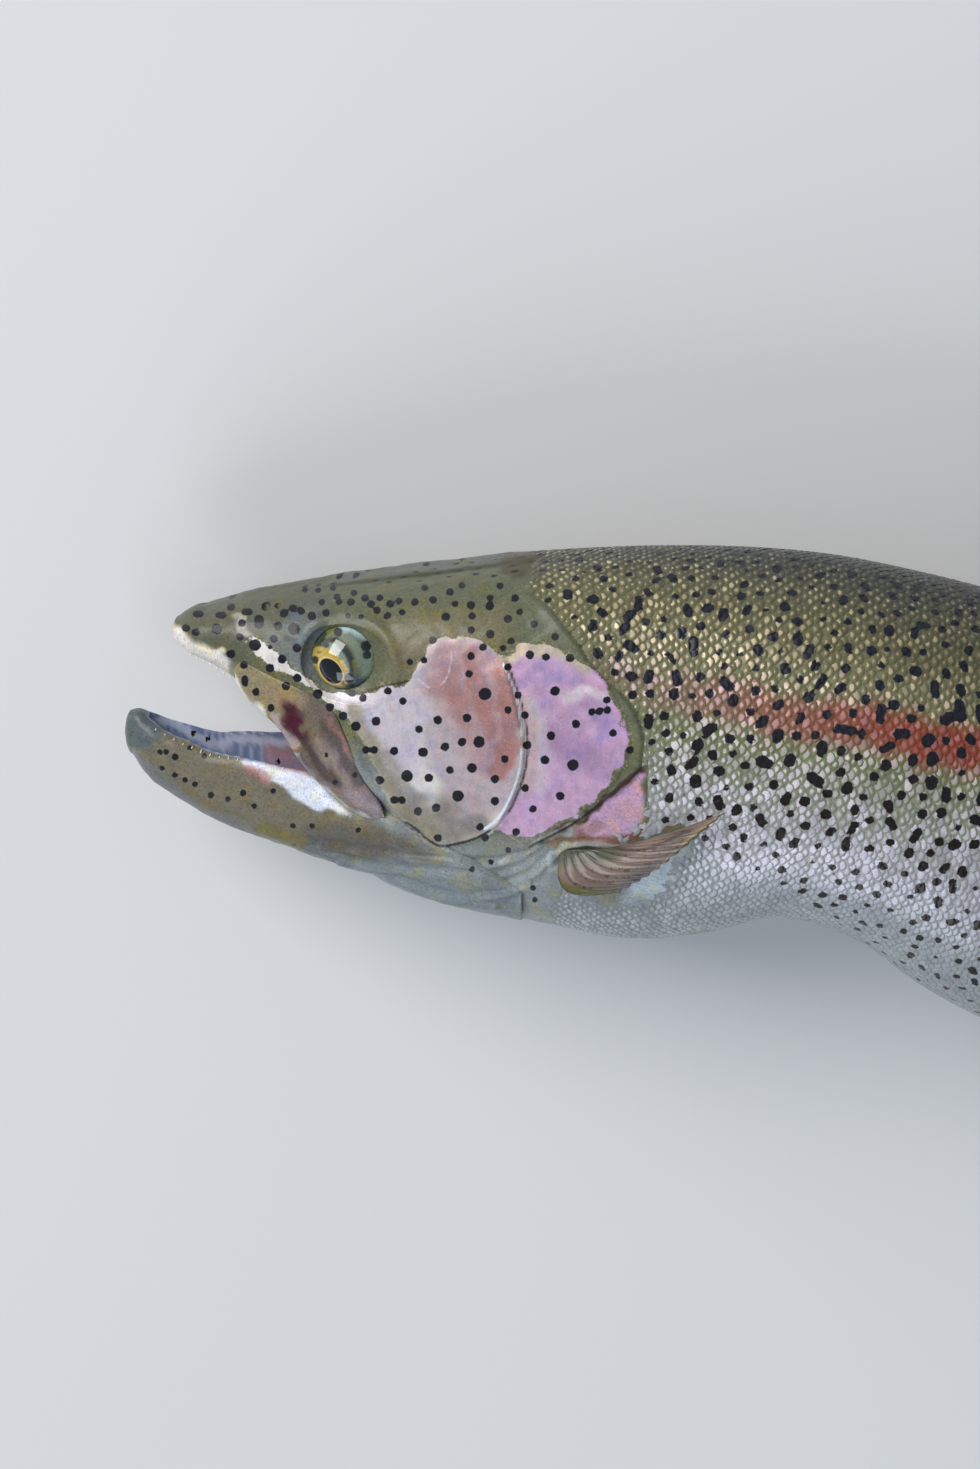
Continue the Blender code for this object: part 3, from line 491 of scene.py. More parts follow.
def stations(start, end, step, blunt=0):
    """Places along s, closer together over the first ones where the end is blunt."""
    count = np.arange(blunt)
    first = start + step * count**2 / (2 * max(blunt, 1))
    begin = first[-1] + step if blunt else start
    return np.concatenate([first, np.arange(begin, end, step), [end]])


def loft(profile, places, left, right, nose=None, inset=0.0):
    """Rings through a profile. nose is its foremost point and the s where the rounding of the nose begins."""
    rings = []
    for s in places:
        if nose and s < nose[1]:
            tip, begin = np.array(nose[0]), nose[1]
            shrink = math.sqrt(max(0.0, 1 - ((begin - s) / (begin - tip[0])) ** 2))
            ring = full_ring(profile, begin, left, right, inset)
            ring = tip + (ring - tip) * (0, shrink, shrink)
            ring[:, 0] = s
        else:
            ring = full_ring(profile, s, left, right, inset)
        rings.append(ring)
    end = rings[-1] * 0 + rings[-1].mean(axis=0)
    start = rings[0] * 0 + rings[0].mean(axis=0)
    return np.array([start] + rings + [end])


def displaced(rings, height):
    """Rings moved outwards along their surface's own direction by height(points) millimetres."""
    along = np.gradient(rings, axis=0)
    turned = np.concatenate([rings[:, -1:], rings, rings[:, :1]], axis=1)
    across = (turned[:, 2:] - turned[:, :-2]) / 2
    normal = np.cross(along, across)
    size = np.linalg.norm(normal, axis=2, keepdims=True)
    normal = normal / np.maximum(size, 1e-6)
    outward = rings - rings.mean(axis=1, keepdims=True)
    if np.sum(normal[2:-2] * outward[2:-2]) < 0:
        normal = -normal
    moved = rings + normal * height(rings.reshape(-1, 3)).reshape(rings.shape[:2])[..., None]
    moved[0], moved[-1] = rings[0], rings[-1]
    return moved


def ball(name, place, radii, lean=(0.0, 0.0), segments=96, rows=64):
    """A closed ellipsoid at a straight place. lean is how far it slants outwards along s and v."""
    deselect()
    bpy.ops.mesh.primitive_uv_sphere_add(segments=segments, ring_count=rows, radius=1.0)
    piece = bpy.context.active_object
    piece.name = piece.data.name = name
    points = straight(piece) * MM * np.array(radii)
    points[:, 1] += lean[0] * points[:, 0] + lean[1] * points[:, 2]
    piece.data.vertices.foreach_set("co", ((points + place) * MM).ravel())
    piece.data.uv_layers.remove(piece.data.uv_layers[0])
    return piece


def mouth_hollow():
    """The space inside the mouth."""
    return tube("mouth", loft(MOUTH, stations(MOUTH[0][0], MOUTH[-1][0], 0.9), 50, 50))


# Colours, as the light that each surface gives back
OLIVE_TOP = (0.105, 0.115, 0.070)
SNOUT_OLIVE = (0.095, 0.100, 0.070)
SNOUT_BLUE = (0.16, 0.18, 0.19)
# Painted sky sheen on the far side of the crown
FAR_SIDE_SHEEN = (0.12, 0.135, 0.135)
MIDLINE = (0.032, 0.034, 0.014)
NAPE_BROWN = (0.052, 0.036, 0.012)
BEHIND_EYE = (0.145, 0.135, 0.080)
EYE_LILAC = (0.10, 0.125, 0.14)
BAND_WHITE = (0.68, 0.66, 0.63)
CHEEK_WHITE = (0.53, 0.49, 0.55)
CHEEK_PINK = (0.40, 0.27, 0.29)
CHEEK_LILAC = (0.42, 0.35, 0.39)
CHEEK_ORANGE = (0.34, 0.145, 0.125)
CHEEK_LOW = (0.23, 0.205, 0.17)
COVER_PINK = (0.50, 0.33, 0.50)
COVER_MID = (0.36, 0.23, 0.39)
COVER_GOLD = (0.46, 0.40, 0.29)
MEMBRANE = (0.115, 0.125, 0.080)
GILL_GAP_SHADE = (0.045, 0.016, 0.011)
SHOULDER_PINK = (0.44, 0.28, 0.44)
SHOULDER_ORANGE = (0.17, 0.075, 0.035)
LIP_GREY = (0.42, 0.46, 0.48)
MAXILLA_FRONT = (0.23, 0.20, 0.12)
MAXILLA_MID = (0.135, 0.105, 0.088)
MAXILLA_REAR = (0.19, 0.155, 0.17)
WOUND = (0.055, 0.006, 0.018)
JAW_KNOB = (0.085, 0.11, 0.12)
GUM_BLUE = (0.14, 0.20, 0.34)
GUM_PALE_AND_HIGHLIGHT = (0.50, 0.54, 0.68)
LIP_WHITE = (0.62, 0.67, 0.79)
JAW_OLIVE = (0.155, 0.140, 0.100)
JAW_GREY = (0.14, 0.16, 0.18)
JAW_REAR = (0.095, 0.092, 0.085)
JAW_YELLOW = (0.15, 0.135, 0.035)
THROAT = (0.19, 0.225, 0.245)
ISTHMUS = (0.26, 0.29, 0.30)
BELLY = (0.22, 0.25, 0.265)
ARMPIT_PALE_AND_HIGHLIGHT = (0.52, 0.62, 0.68)
ARMPIT_GOLD = (0.26, 0.27, 0.17)
MOUTH_PINK = (0.34, 0.22, 0.26)

# The pale plate of cheek and gill cover, with the white band under the eye. Its edge is ragged
PLATE = (
    (249, 636), (264, 644), (281, 660), (300, 672), (320, 690), (345, 693), (362, 695), (380, 690),
    (400, 686), (410, 680), (416, 668), (423, 655), (430, 645), (440, 637), (460, 635), (480, 640),
    (497, 655), (503, 655), (520, 645), (550, 645), (565, 655), (580, 662), (605, 680), (612, 700),
    (628, 735), (625, 760), (600, 795), (565, 820), (520, 840), (500, 830), (480, 836), (455, 844),
    (440, 846), (428, 840), (415, 828), (400, 818), (392, 806), (375, 770), (358, 735), (340, 712),
    (323, 698), (308, 688), (290, 677), (272, 666), (257, 654), (247, 642),
)
# Soft-edged regions, in the order they are laid on: colour, softness and corners in pixels
SKIN_REGIONS = (
    (SNOUT_OLIVE, 10, (
        (160, 560), (330, 560), (330, 600), (300, 640), (262, 645), (225, 668), (150, 660),
    )),
    (BEHIND_EYE, 10, ((385, 615), (505, 604), (510, 650), (440, 640), (412, 690), (384, 684))),
    (EYE_LILAC, 8, (
        (288, 612), (318, 606), (322, 640), (312, 668), (322, 686), (300, 672), (286, 640),
    )),
    (SHOULDER_PINK, 3, ((643, 768), (643, 822), (630, 840), (600, 843), (572, 834), (602, 804))),
    (JAW_OLIVE, 12, (
        (120, 720), (250, 745), (330, 800), (395, 830), (420, 850), (330, 862), (230, 845), (150, 790),
    )),
    (JAW_REAR, 14, ((300, 825), (370, 832), (420, 840), (440, 862), (370, 862), (300, 850))),
    (THROAT, 14, ((300, 858), (400, 862), (470, 880), (560, 860), (560, 950), (350, 900), (250, 850))),
    (ISTHMUS, 12, ((500, 862), (550, 850), (556, 900), (700, 905), (760, 900), (700, 950), (540, 950))),
    (MEMBRANE, 5, (
        (518, 590), (548, 604), (575, 630), (604, 668), (640, 710), (647, 752), (638, 768), (628, 745),
        (612, 702), (590, 668), (560, 648), (530, 636),
    )),
    (JAW_KNOB, 6, ((122, 700), (156, 704), (166, 724), (150, 748), (122, 748))),
    (LIP_WHITE, 2.5, (
        (243, 758), (300, 763), (310, 775), (322, 787), (340, 803), (352, 813), (340, 813), (320, 809),
        (300, 803), (291, 797), (284, 788), (270, 781), (260, 775), (250, 766),
    )),
    # Pale skin behind the breast fin, partly a painted highlight
    (ARMPIT_PALE_AND_HIGHLIGHT, 12, ((628, 876), (660, 850), (690, 842), (692, 880), (655, 902), (628, 900))),
)
PLATE_REGIONS = (
    (CHEEK_WHITE, 16, (
        (325, 690), (420, 682), (436, 712), (428, 766), (400, 790), (376, 748), (348, 715),
    )),
    (CHEEK_PINK, 18, (
        (420, 690), (424, 655), (442, 630), (480, 635), (506, 650), (516, 695), (523, 735), (521, 775),
        (500, 800), (470, 780), (450, 740), (436, 710),
    )),
    (CHEEK_LOW, 16, (
        (410, 792), (430, 800), (455, 782), (495, 800), (485, 842), (430, 850), (392, 822),
    )),
    (COVER_PINK, 3, (
        (503, 650), (548, 640), (584, 655), (610, 676), (622, 700), (634, 735), (630, 765), (602, 802),
        (566, 828), (510, 848), (496, 830), (520, 782), (525, 735), (514, 690),
    )),
)
# Soft strokes: colour, strength, half width in pixels and the line's points
SKIN_STROKES = (
    (NAPE_BROWN, 0.75, 12, ((512, 566), (540, 556), (575, 552), (620, 548))),
    # Painted shade in the gill slit, along the lower edge of the gill cover
    (GILL_GAP_SHADE, 0.9, 3, (
        (641, 768), (620, 787), (600, 804), (580, 820), (560, 831), (540, 842), (515, 855),
    )),
    (SHOULDER_ORANGE, 0.85, 5, ((580, 838), (605, 842), (640, 832), (690, 814))),
    (SHOULDER_ORANGE, 0.5, 6, ((600, 826), (570, 836), (548, 842))),
    (LIP_GREY, 0.55, 3, ((500, 862), (520, 853), (545, 839), (572, 829))),
    (BAND_WHITE, 0.85, 9, ((174, 634), (186, 646), (204, 656), (224, 664))),
    (BAND_WHITE, 0.8, 5, ((196, 656), (210, 655), (222, 649))),
    (BAND_WHITE, 0.35, 4, ((238, 618), (243, 626), (246, 634))),
    (SNOUT_BLUE, 0.6, 9, ((268, 640), (288, 652), (306, 664))),
    (JAW_GREY, 0.75, 13, ((138, 770), (190, 812), (264, 842), (340, 868))),
    (JAW_YELLOW, 0.8, 8, ((262, 828), (280, 836), (300, 842))),
    (CHEEK_ORANGE, 0.7, 4, ((252, 769), (262, 775), (270, 781))),
    (ARMPIT_GOLD, 0.4, 10, ((676, 846), (684, 868), (676, 892))),
    (LIP_GREY, 0.5, 3, ((550, 872), (555, 855), (566, 846), (582, 843), (602, 845), (624, 848))),
)
PLATE_STROKES = (
    (COVER_GOLD, 0.9, 7, ((503, 655), (530, 648), (556, 651), (584, 668))),
    (COVER_GOLD, 0.6, 4, ((497, 640), (470, 634), (440, 636))),
    (COVER_MID, 0.7, 15, ((548, 738), (580, 752), (604, 768))),
    (COVER_MID, 0.45, 9, ((575, 684), (604, 720))),
    (COVER_GOLD, 0.5, 12, ((524, 706), (532, 740), (526, 780))),
    ((0.25, 0.22, 0.13), 0.75, 9, ((354, 713), (368, 745), (385, 778), (402, 806), (428, 830))),
    (CHEEK_LILAC, 0.85, 17, ((440, 735), (450, 768), (476, 800), (500, 790))),
    (CHEEK_LOW, 0.6, 12, ((384, 758), (400, 786), (420, 812), (452, 836))),
    (CHEEK_ORANGE, 0.75, 9, ((503, 668), (509, 702), (510, 742), (500, 770))),
    (CHEEK_ORANGE, 0.6, 8, ((470, 655), (478, 690), (490, 730))),
    (CHEEK_ORANGE, 0.4, 8, ((450, 670), (456, 700), (462, 722))),
    (CHEEK_ORANGE, 0.35, 8, ((436, 690), (470, 700), (500, 706))),
    (CHEEK_WHITE, 0.5, 6, ((532, 700), (545, 740), (540, 790))),
    (BAND_WHITE, 0.5, 6, ((566, 700), (590, 690), (604, 700))),
)
# The walls of the mouth
LINING_REGIONS = (
    (GUM_BLUE, 5, (
        (120, 700), (175, 706), (195, 718), (215, 730), (300, 730), (310, 766), (240, 764), (120, 750),
    )),
    (MOUTH_PINK, 5, ((262, 742), (290, 740), (306, 762), (266, 764))),
)
# Pale ridges along the jaw's rim: partly the gum's own pale colour, partly painted highlight on them
LINING_STROKES = (
    (GUM_PALE_AND_HIGHLIGHT, 0.75, 4, ((150, 722), (170, 722), (190, 733), (210, 743), (224, 747))),
    (GUM_PALE_AND_HIGHLIGHT, 0.85, 4, ((222, 743), (232, 739), (247, 739), (270, 741), (288, 743))),
)
# Dark lines of painted shade along creases and gill slits, and pale ones
SHADED_CREASES = (
    CHEEK_FOLD,
    ((640, 766), (620, 786), (600, 803), (580, 820), (560, 831), (540, 841), (520, 852)),
    ((505, 660), (514, 680), (522, 705), (527, 730), (528, 750), (524, 775), (515, 800), (502, 824)),
    ((340, 691), (362, 693), (380, 687), (400, 683), (414, 679)),
    ((575, 640), (582, 648)),
    ((600, 672), (622, 682)),
    ((641, 702), (643, 730)),
)
PALE_LINES = (
    ((499, 655), (507, 672), (515, 693), (520, 717), (523, 745)),
    ((523, 740), (519, 773), (511, 796), (498, 818), (478, 834)),
)
CANALS = (
    ((450, 645), (451, 660), (443, 683), (437, 688)),
    ((432, 690), (424, 684), (415, 677)),
)
# Round marks: x, y and radius in pixels. A fourth number makes a mark taller, or wider if it is under 1
CHEEK_SPOTS = (
    (388, 691, 4), (403, 701, 4), (433, 640, 4), (471, 656, 4), (469, 674, 4), (485, 694, 6.5),
    (508, 710, 4), (438, 720, 4.5), (467, 718, 4.5), (419, 729, 4), (394, 751, 4.5), (423, 752, 5),
    (445, 747, 4.5), (462, 742, 4.5), (479, 742, 6), (505, 759, 4), (407, 776, 6), (429, 778, 4.5),
    (450, 770, 4), (472, 768, 5), (495, 779, 4.5), (458, 796, 6), (495, 801, 4.5), (436, 808, 4.5),
    (418, 811, 4), (480, 827, 4), (438, 838, 4), (485, 838, 4), (410, 662, 3.5), (424, 660, 3.5),
)
COVER_SPOTS = (
    (508, 667, 4), (518, 695, 4), (525, 715, 4), (527, 745, 4.5), (530, 655, 4.5), (546, 657, 4),
    (570, 658, 4.5), (555, 691, 5), (576, 724, 4.5), (592, 712, 4), (600, 711, 4), (607, 710, 4),
    (607, 700, 4), (613, 733, 4), (551, 736, 4.5), (545, 760, 4.5), (573, 765, 6), (560, 796, 4.5),
    (525, 788, 4), (533, 809, 4), (516, 832, 4), (630, 750, 4), (472, 869, 3), (491, 862, 3),
    (508, 850, 3), (533, 888, 3), (535, 900, 3),
)
CROWN_SPOTS = (
    (446, 617, 4.5), (508, 619, 4.5), (534, 624, 4), (471, 605, 4.5), (472, 616, 4), (471, 630, 4),
    (490, 634, 4.5), (490, 606, 4.5), (483, 647, 4), (503, 648, 3.5), (511, 641, 4), (555, 637, 4),
    (450, 592, 4), (415, 602, 4), (433, 600, 4), (402, 612, 3.5), (388, 615, 3.5), (490, 598, 3.5),
    (515, 598, 4), (535, 587, 4), (550, 590, 4), (563, 605, 4), (569, 589, 4), (580, 586, 3.5),
    (322, 602, 3.5), (337, 597, 3.5), (339, 602, 3.5), (351, 602, 4), (354, 593, 3.5), (365, 598, 4),
    (371, 604, 4), (377, 610, 4), (380, 598, 3.5), (390, 604, 4), (399, 601, 3.5), (387, 616, 3.5),
    (348, 616, 3), (361, 617, 3), (305, 590, 3), (318, 590, 3), (333, 588, 3), (462, 585, 3.5),
    (500, 586, 3.5), (425, 588, 3.5), (520, 612, 3.5), (455, 604, 3.5),
)
SNOUT_SPOTS = (
    (186, 628, 4), (196, 632, 4), (198, 614, 4.5, 0.6), (221, 615, 4.5, 0.6), (217, 629, 5.5),
    (231, 607, 4), (247, 612, 4.5, 0.6), (242, 623, 4), (240, 637, 4), (259, 622, 6, 1.5),
    (255, 645, 6), (278, 626, 4.5), (284, 613, 4.5), (293, 608, 4), (301, 611, 4), (312, 616, 4.5),
    (326, 613, 4), (274, 639, 4), (294, 629, 6), (297, 648, 4.5), (231, 654, 4.5), (244, 665, 4),
    (245, 681, 4.5, 1.6), (256, 692, 4), (271, 708, 4), (270, 647, 2.5), (282, 659, 4.5),
    (297, 678, 4.5), (270, 668, 4.5), (286, 686, 4.5), (318, 694, 5), (330, 707, 4.5), (343, 716, 4.5),
    (356, 726, 5), (376, 721, 4.5), (363, 698, 4), (352, 693, 4), (366, 750, 4), (374, 750, 4),
    (380, 780, 4.5), (394, 800, 4), (402, 800, 4), (418, 812, 4),
)
JAW_SPOTS = (
    (160, 752, 3), (166, 752, 3), (175, 757, 3.5), (190, 748, 3), (204, 756, 3), (162, 768, 3),
    (175, 775, 3), (185, 780, 3), (195, 784, 3), (211, 795, 3.5), (228, 799, 3), (243, 793, 3.5),
    (254, 806, 3), (273, 791, 3), (293, 826, 3), (312, 826, 3), (358, 830, 3), (326, 755, 3),
    (355, 775, 3), (335, 782, 3),
)
HEAD_SPOTS = CHEEK_SPOTS + COVER_SPOTS + CROWN_SPOTS + SNOUT_SPOTS + JAW_SPOTS


def laid_on(tone, colour, amount):
    """A coat of colour over the tones of all points."""
    return tone + (np.array(colour) - tone) * amount[:, None]


def painted(tone, where, regions, strokes):
    """Tones with soft-edged regions and then soft strokes laid on, both placed in the photograph."""
    for colour, soft, corners in regions:
        tone = laid_on(tone, colour, inside(where, corners, soft))
    for colour, strength, width, line in strokes:
        gap, _ = line_distance(where, line)
        reach = np.abs(gap) * PIXELS_PER_MM
        tone = laid_on(tone, colour, strength * ease(-reach, -1.4 * width, -0.6 * width))
    return tone


def wavering(points, where):
    """Places in the photograph, shifted a little to and fro, so that painted edges waver."""
    return where + 2.5 * np.column_stack([waves(points, 5.0, 11), waves(points, 5.0, 12)])


def head_tones(points):
    """Colours of the head at each point: of the skin, of the pale plate over it and of the mouth's walls."""
    where = wavering(points, chart(points))
    s, side, v = points.T
    back, belly = smooth(BODY, 1, s), smooth(BODY, 2, s)
    rise = (v - belly) / (back - belly)
    skin = np.zeros_like(points) + OLIVE_TOP
    skin = laid_on(skin, BELLY, ease(-rise, -0.45, -0.15))
    # Painted sky sheen: the far side of the crown is turned bluish grey
    skin = laid_on(skin, FAR_SIDE_SHEEN, 0.7 * ease(-side, 1.5, 5.0) * ease(v, 25.0, 35.0))
    middle = (1 - ease(np.abs(side + 0.4), 0.9, 2.4)) * ease(v, 25.0, 35.0) * ease(s, 3.0, 12.0)
    skin = laid_on(skin, MIDLINE, 0.85 * middle)
    skin = painted(skin, where, SKIN_REGIONS, SKIN_STROKES)
    plate = painted(np.zeros_like(points) + BAND_WHITE, where, PLATE_REGIONS, PLATE_STROKES)
    lining = painted(np.zeros_like(points) + MOUTH_PINK, photo(points)[0], LINING_REGIONS, LINING_STROKES)
    # Painted highlights on the scalloped ridges at the front of the mouth's walls, over the gum's pale colour
    lobe_highlights = 0.5 + 0.5 * np.sin(2 * math.pi * s / 2.6 + 1.5 * waves(points, 6.0, 17))
    lining = laid_on(lining, GUM_PALE_AND_HIGHLIGHT, 0.6 * lobe_highlights**2 * ease(-s, -24.0, -16.0))
    return skin, plate, lining


def nearest_line(where, lines):
    """Distance in mm to the nearest of several lines, shortened to nothing past their ends."""
    best = np.full(len(where), 9.0)
    for line in lines:
        gap, share = line_distance(where, line)
        taper = 1.2 * (1 - np.clip(np.sin(math.pi * np.clip(share, 0, 1)) * 4, 0, 1))
        best = np.minimum(best, np.abs(gap) + taper)
    return best


def long_marks(marks):
    """Marks as rows of x, y, radius and reach across and down, from the shorter way of writing them."""
    rows = []
    for x, y, radius, *shape in marks:
        across, down = 0.0, 0.0
        if shape:
            stretch = math.sqrt(shape[0])
            down, across = radius * max(stretch - 1 / stretch, 0), radius * max(1 / stretch - stretch, 0)
            radius = radius * min(stretch, 1 / stretch)
        rows.append((x, y, radius, across, down))
    return np.array(rows, float)


def mark_field(where, marks, reach=5.0):
    """Signed distance in mm to the rim of the nearest mark drawn in the photograph, negative inside it."""
    order = np.argsort(where[:, 0])
    across = where[order, 0]
    field = np.full(len(where), reach)
    margin = reach * PIXELS_PER_MM
    for x, y, radius, half_across, half_down in marks:
        span = radius + abs(half_across) + margin
        low, high = np.searchsorted(across, (x - span, x + span))
        rows = order[low:high]
        rows = rows[np.abs(where[rows, 1] - y) < radius + abs(half_down) + margin]
        off = where[rows] - (x, y)
        half = np.array((half_across, half_down))
        t = np.clip(off @ half / max(half @ half, 1e-9), -1, 1)
        gap = (np.linalg.norm(off - t[:, None] * half, axis=1) - radius) / PIXELS_PER_MM
        field[rows] = np.minimum(field[rows], gap)
    return field


def spot_field(points, spots, reach=5.0):
    """Signed distance in mm from each point to the nearest round spot's rim, negative inside it."""
    order = np.argsort(points[:, 0])
    s = points[order, 0]
    field = np.full(len(points), reach)
    for place_s, place_l, place_v, radius in spots:
        low, high = np.searchsorted(s, (place_s - radius - 3.0, place_s + radius + 3.0))
        rows = order[low:high]
        gap = np.linalg.norm(points[rows] - (place_s, place_l, place_v), axis=1) - radius
        field[rows] = np.minimum(field[rows], gap)
    return field


# The scaled body, by s: the stripe's level, and how far apart rings of scales and a ring's own scales are
FLANK_STEP = 2.0
FLANK_STATIONS = np.arange(84.0, TRUNK_END + 4.1, FLANK_STEP)
FLANK_COLUMNS = 121
LATERAL = (
    (84.0, 27.5), (105.0, 27.0), (135.0, 25.0), (208.0, 24.0), (260.0, 18.0), (320.0, 8.0),
    (400.0, 2.0), (460.0, 0.0),
)
RING_SPACING = ((84.0, 1.38), (200.0, 1.4), (330.0, 1.25), (460.0, 0.95))
ROW_SPACING = ((84.0, 2.9), (200.0, 3.1), (330.0, 2.6), (460.0, 1.9))
SCALES_END = 457.0
ALL_SCALED_FROM = 175.0
# How far scales reach over the bare skin's edge, and marks stay back from it
EDGE_MARGIN = 0.7

FLANK = np.array([even(half_ring(BODY, s, count=361), FLANK_COLUMNS) for s in FLANK_STATIONS])
GIRTH = np.linalg.norm(np.diff(FLANK, axis=1), axis=2).sum(axis=1)
FLANK_NORMAL = np.cross(np.gradient(FLANK, axis=1), np.gradient(FLANK, axis=0))
FLANK_NORMAL /= np.linalg.norm(FLANK_NORMAL, axis=2, keepdims=True)
LATERAL_ARC = np.array(
    [np.interp(smooth(LATERAL, 1, s), row[:, 2], np.linspace(0, girth, FLANK_COLUMNS))
     for s, row, girth in zip(FLANK_STATIONS, FLANK, GIRTH)]
)


def on_flank(s, arc, side):
    """Points and outward directions on the body at s and arc mm up from the belly's middle line."""
    share = arc / np.interp(s, FLANK_STATIONS, GIRTH)
    crossed = (share < 0) | (share > 1)
    share = np.where(share > 1, 2 - share, np.abs(share))
    side = np.where(crossed, -side, side)
    row = np.clip((s - FLANK_STATIONS[0]) / FLANK_STEP, 0, len(FLANK_STATIONS) - 1.001)
    column = np.clip(share, 0, 1) * (FLANK_COLUMNS - 1.001)
    i, j = row.astype(int), column.astype(int)
    a, b = (row - i)[..., None], (column - j)[..., None]
    mirror = np.stack([np.ones_like(side), side, np.ones_like(side)], axis=-1)
    found = []
    for table in (FLANK, FLANK_NORMAL):
        value = (table[i, j] * (1 - a) + table[i + 1, j] * a) * (1 - b)
        value += (table[i, j + 1] * (1 - a) + table[i + 1, j + 1] * a) * b
        found.append(value * mirror)
    return found


# The flank by mm above the stripe: tone of the skin between the scales' bright middles, tone of these
# middles, partly pearly colour and partly painted reflection, and how much of its scale each fills
FLANK_TONES = (
    (-75.0, (0.25, 0.28, 0.28), (0.34, 0.37, 0.38), 1.3),
    (-52.0, (0.30, 0.32, 0.34), (0.39, 0.40, 0.44), 1.3),
    (-38.0, (0.34, 0.345, 0.37), (0.47, 0.455, 0.53), 1.3),
    (-22.0, (0.23, 0.245, 0.19), (0.55, 0.52, 0.60), 1.2),
    (-9.0, (0.16, 0.18, 0.09), (0.55, 0.50, 0.50), 1.05),
    (9.0, (0.155, 0.155, 0.080), (0.56, 0.45, 0.34), 0.85),
    (18.0, (0.145, 0.138, 0.072), (0.48, 0.40, 0.23), 0.74),
    (30.0, (0.105, 0.102, 0.060), (0.42, 0.36, 0.20), 0.64),
    (40.0, (0.062, 0.064, 0.046), (0.28, 0.26, 0.16), 0.56),
    (55.0, (0.030, 0.033, 0.032), (0.14, 0.13, 0.10), 0.5),
)
STRIPE_START = ((0.19, 0.165, 0.10), (0.62, 0.44, 0.47))
STRIPE_RED = ((0.22, 0.048, 0.026), (0.38, 0.14, 0.13))


def flank_level(s, arc):
    """How far above the stripe a place of the flank lies, in mm of the body at its deepest."""
    level = arc - np.interp(s, FLANK_STATIONS, LATERAL_ARC)
    return level * np.interp(s, (84.0, 220.0, 460.0), (1.0, 1.0, 2.1))


def flank_tones(s, arc):
    """Tones of the skin and of a scale's middle, at s and arc mm up from the belly's middle line."""
    level = flank_level(s, arc)
    knots = [row[0] for row in FLANK_TONES]
    width = np.interp(s, (110.0, 160.0, 215.0, 300.0, 450.0), (5.0, 5.5, 6.5, 7.0, 9.0))
    stripe = ease(1.5 - np.abs(level + 1.5 * np.sin(s / 4.1) * np.cos(s / 2.3)) / width, 0.0, 1.1)
    stripe = stripe * np.interp(s, (92.0, 112.0, 200.0, 260.0, 380.0, 456.0), (0.3, 0.95, 1.0, 0.8, 0.6, 0.4))
    red = np.interp(s, (118.0, 150.0, 185.0, 380.0, 456.0), (0.0, 0.6, 1.0, 0.7, 0.4))[..., None]
    found = []
    for which in (0, 1):
        tone = np.stack(
            [np.interp(level, knots, [row[1 + which][c] for row in FLANK_TONES]) for c in range(3)], axis=-1
        )
        tone = tone * (1 - np.interp(s, (140.0, 215.0), (0.0, 0.3)) * ease(level, 8.0, 20.0))[..., None]
        colour = np.array(STRIPE_START[which]) * (1 - red) + np.array(STRIPE_RED[which]) * red
        found.append(tone + (colour - tone) * stripe[..., None])
    return found


# Marks of the flank: how many places are tried, how far apart they stay, and their radius by how far up
# the side they are. The lowest ones leave the belly bare, and behind the head they stop higher up
BODY_TRIES = 26000
MARK_SPACING = ((0.0, 5.6), (0.3, 4.5), (0.5, 4.1), (1.0, 3.8))
MARK_RADIUS = ((0.0, 0.9), (0.35, 1.15), (0.55, 1.4), (0.75, 1.2), (1.0, 1.05))
MARK_LOWEST = ((84.0, 0.44), (140.0, 0.4), (165.0, 0.27), (190.0, 0.13), (456.0, 0.08))
# How much longer than its radius a mark reaches each way, and how common that is
MARK_REACHES, REACH_SHARES = (0.0, 0.35, 0.7, 1.2), (0.44, 0.29, 0.2, 0.07)


def body_spots(side, seed):
    """Dark marks scattered over one scaled side of the body. A longer mark is a string of round spots."""
    draw = np.random.default_rng(seed)
    s = draw.uniform(FLANK_STATIONS[0] + 2.0, TRUNK_END - 1.0, BODY_TRIES)
    share = draw.uniform(0.08, 0.99, BODY_TRIES)
    arc = share * np.interp(s, FLANK_STATIONS, GIRTH)
    centres, _ = on_flank(s, arc, np.full(BODY_TRIES, float(side)))
    fits = (bare_gap(chart(centres)) < -EDGE_MARGIN) | (s > ALL_SCALED_FROM)
    fits &= share > np.interp(s, *np.array(MARK_LOWEST).T)
    apart = np.interp(share, *np.array(MARK_SPACING).T)
    chosen = []
    for i in np.flatnonzero(fits):
        if not chosen or np.hypot(s[chosen] - s[i], arc[chosen] - arc[i]).min() > apart[i]:
            chosen.append(i)
    places = []
    for i in chosen:
        radius = np.interp(share[i], *np.array(MARK_RADIUS).T) * draw.uniform(0.8, 1.15)
        radius *= np.interp(s[i], (200.0, 456.0), (1.0, 0.75))
        reach = draw.choice(MARK_REACHES, p=REACH_SHARES) * radius
        way = draw.normal(0.0, 0.55)
        steps = np.linspace(-1, 1, 4) if reach else np.zeros(1)
        beside = np.full(len(steps), float(side))
        ahead, up = steps * reach * math.sin(way), steps * reach * math.cos(way)
        spots, _ = on_flank(s[i] + ahead, arc[i] + up, beside)
        sizes = radius * draw.uniform(0.82, 1.08, len(steps))
        places.append(np.column_stack([spots, sizes]))
    return np.vstack(places)


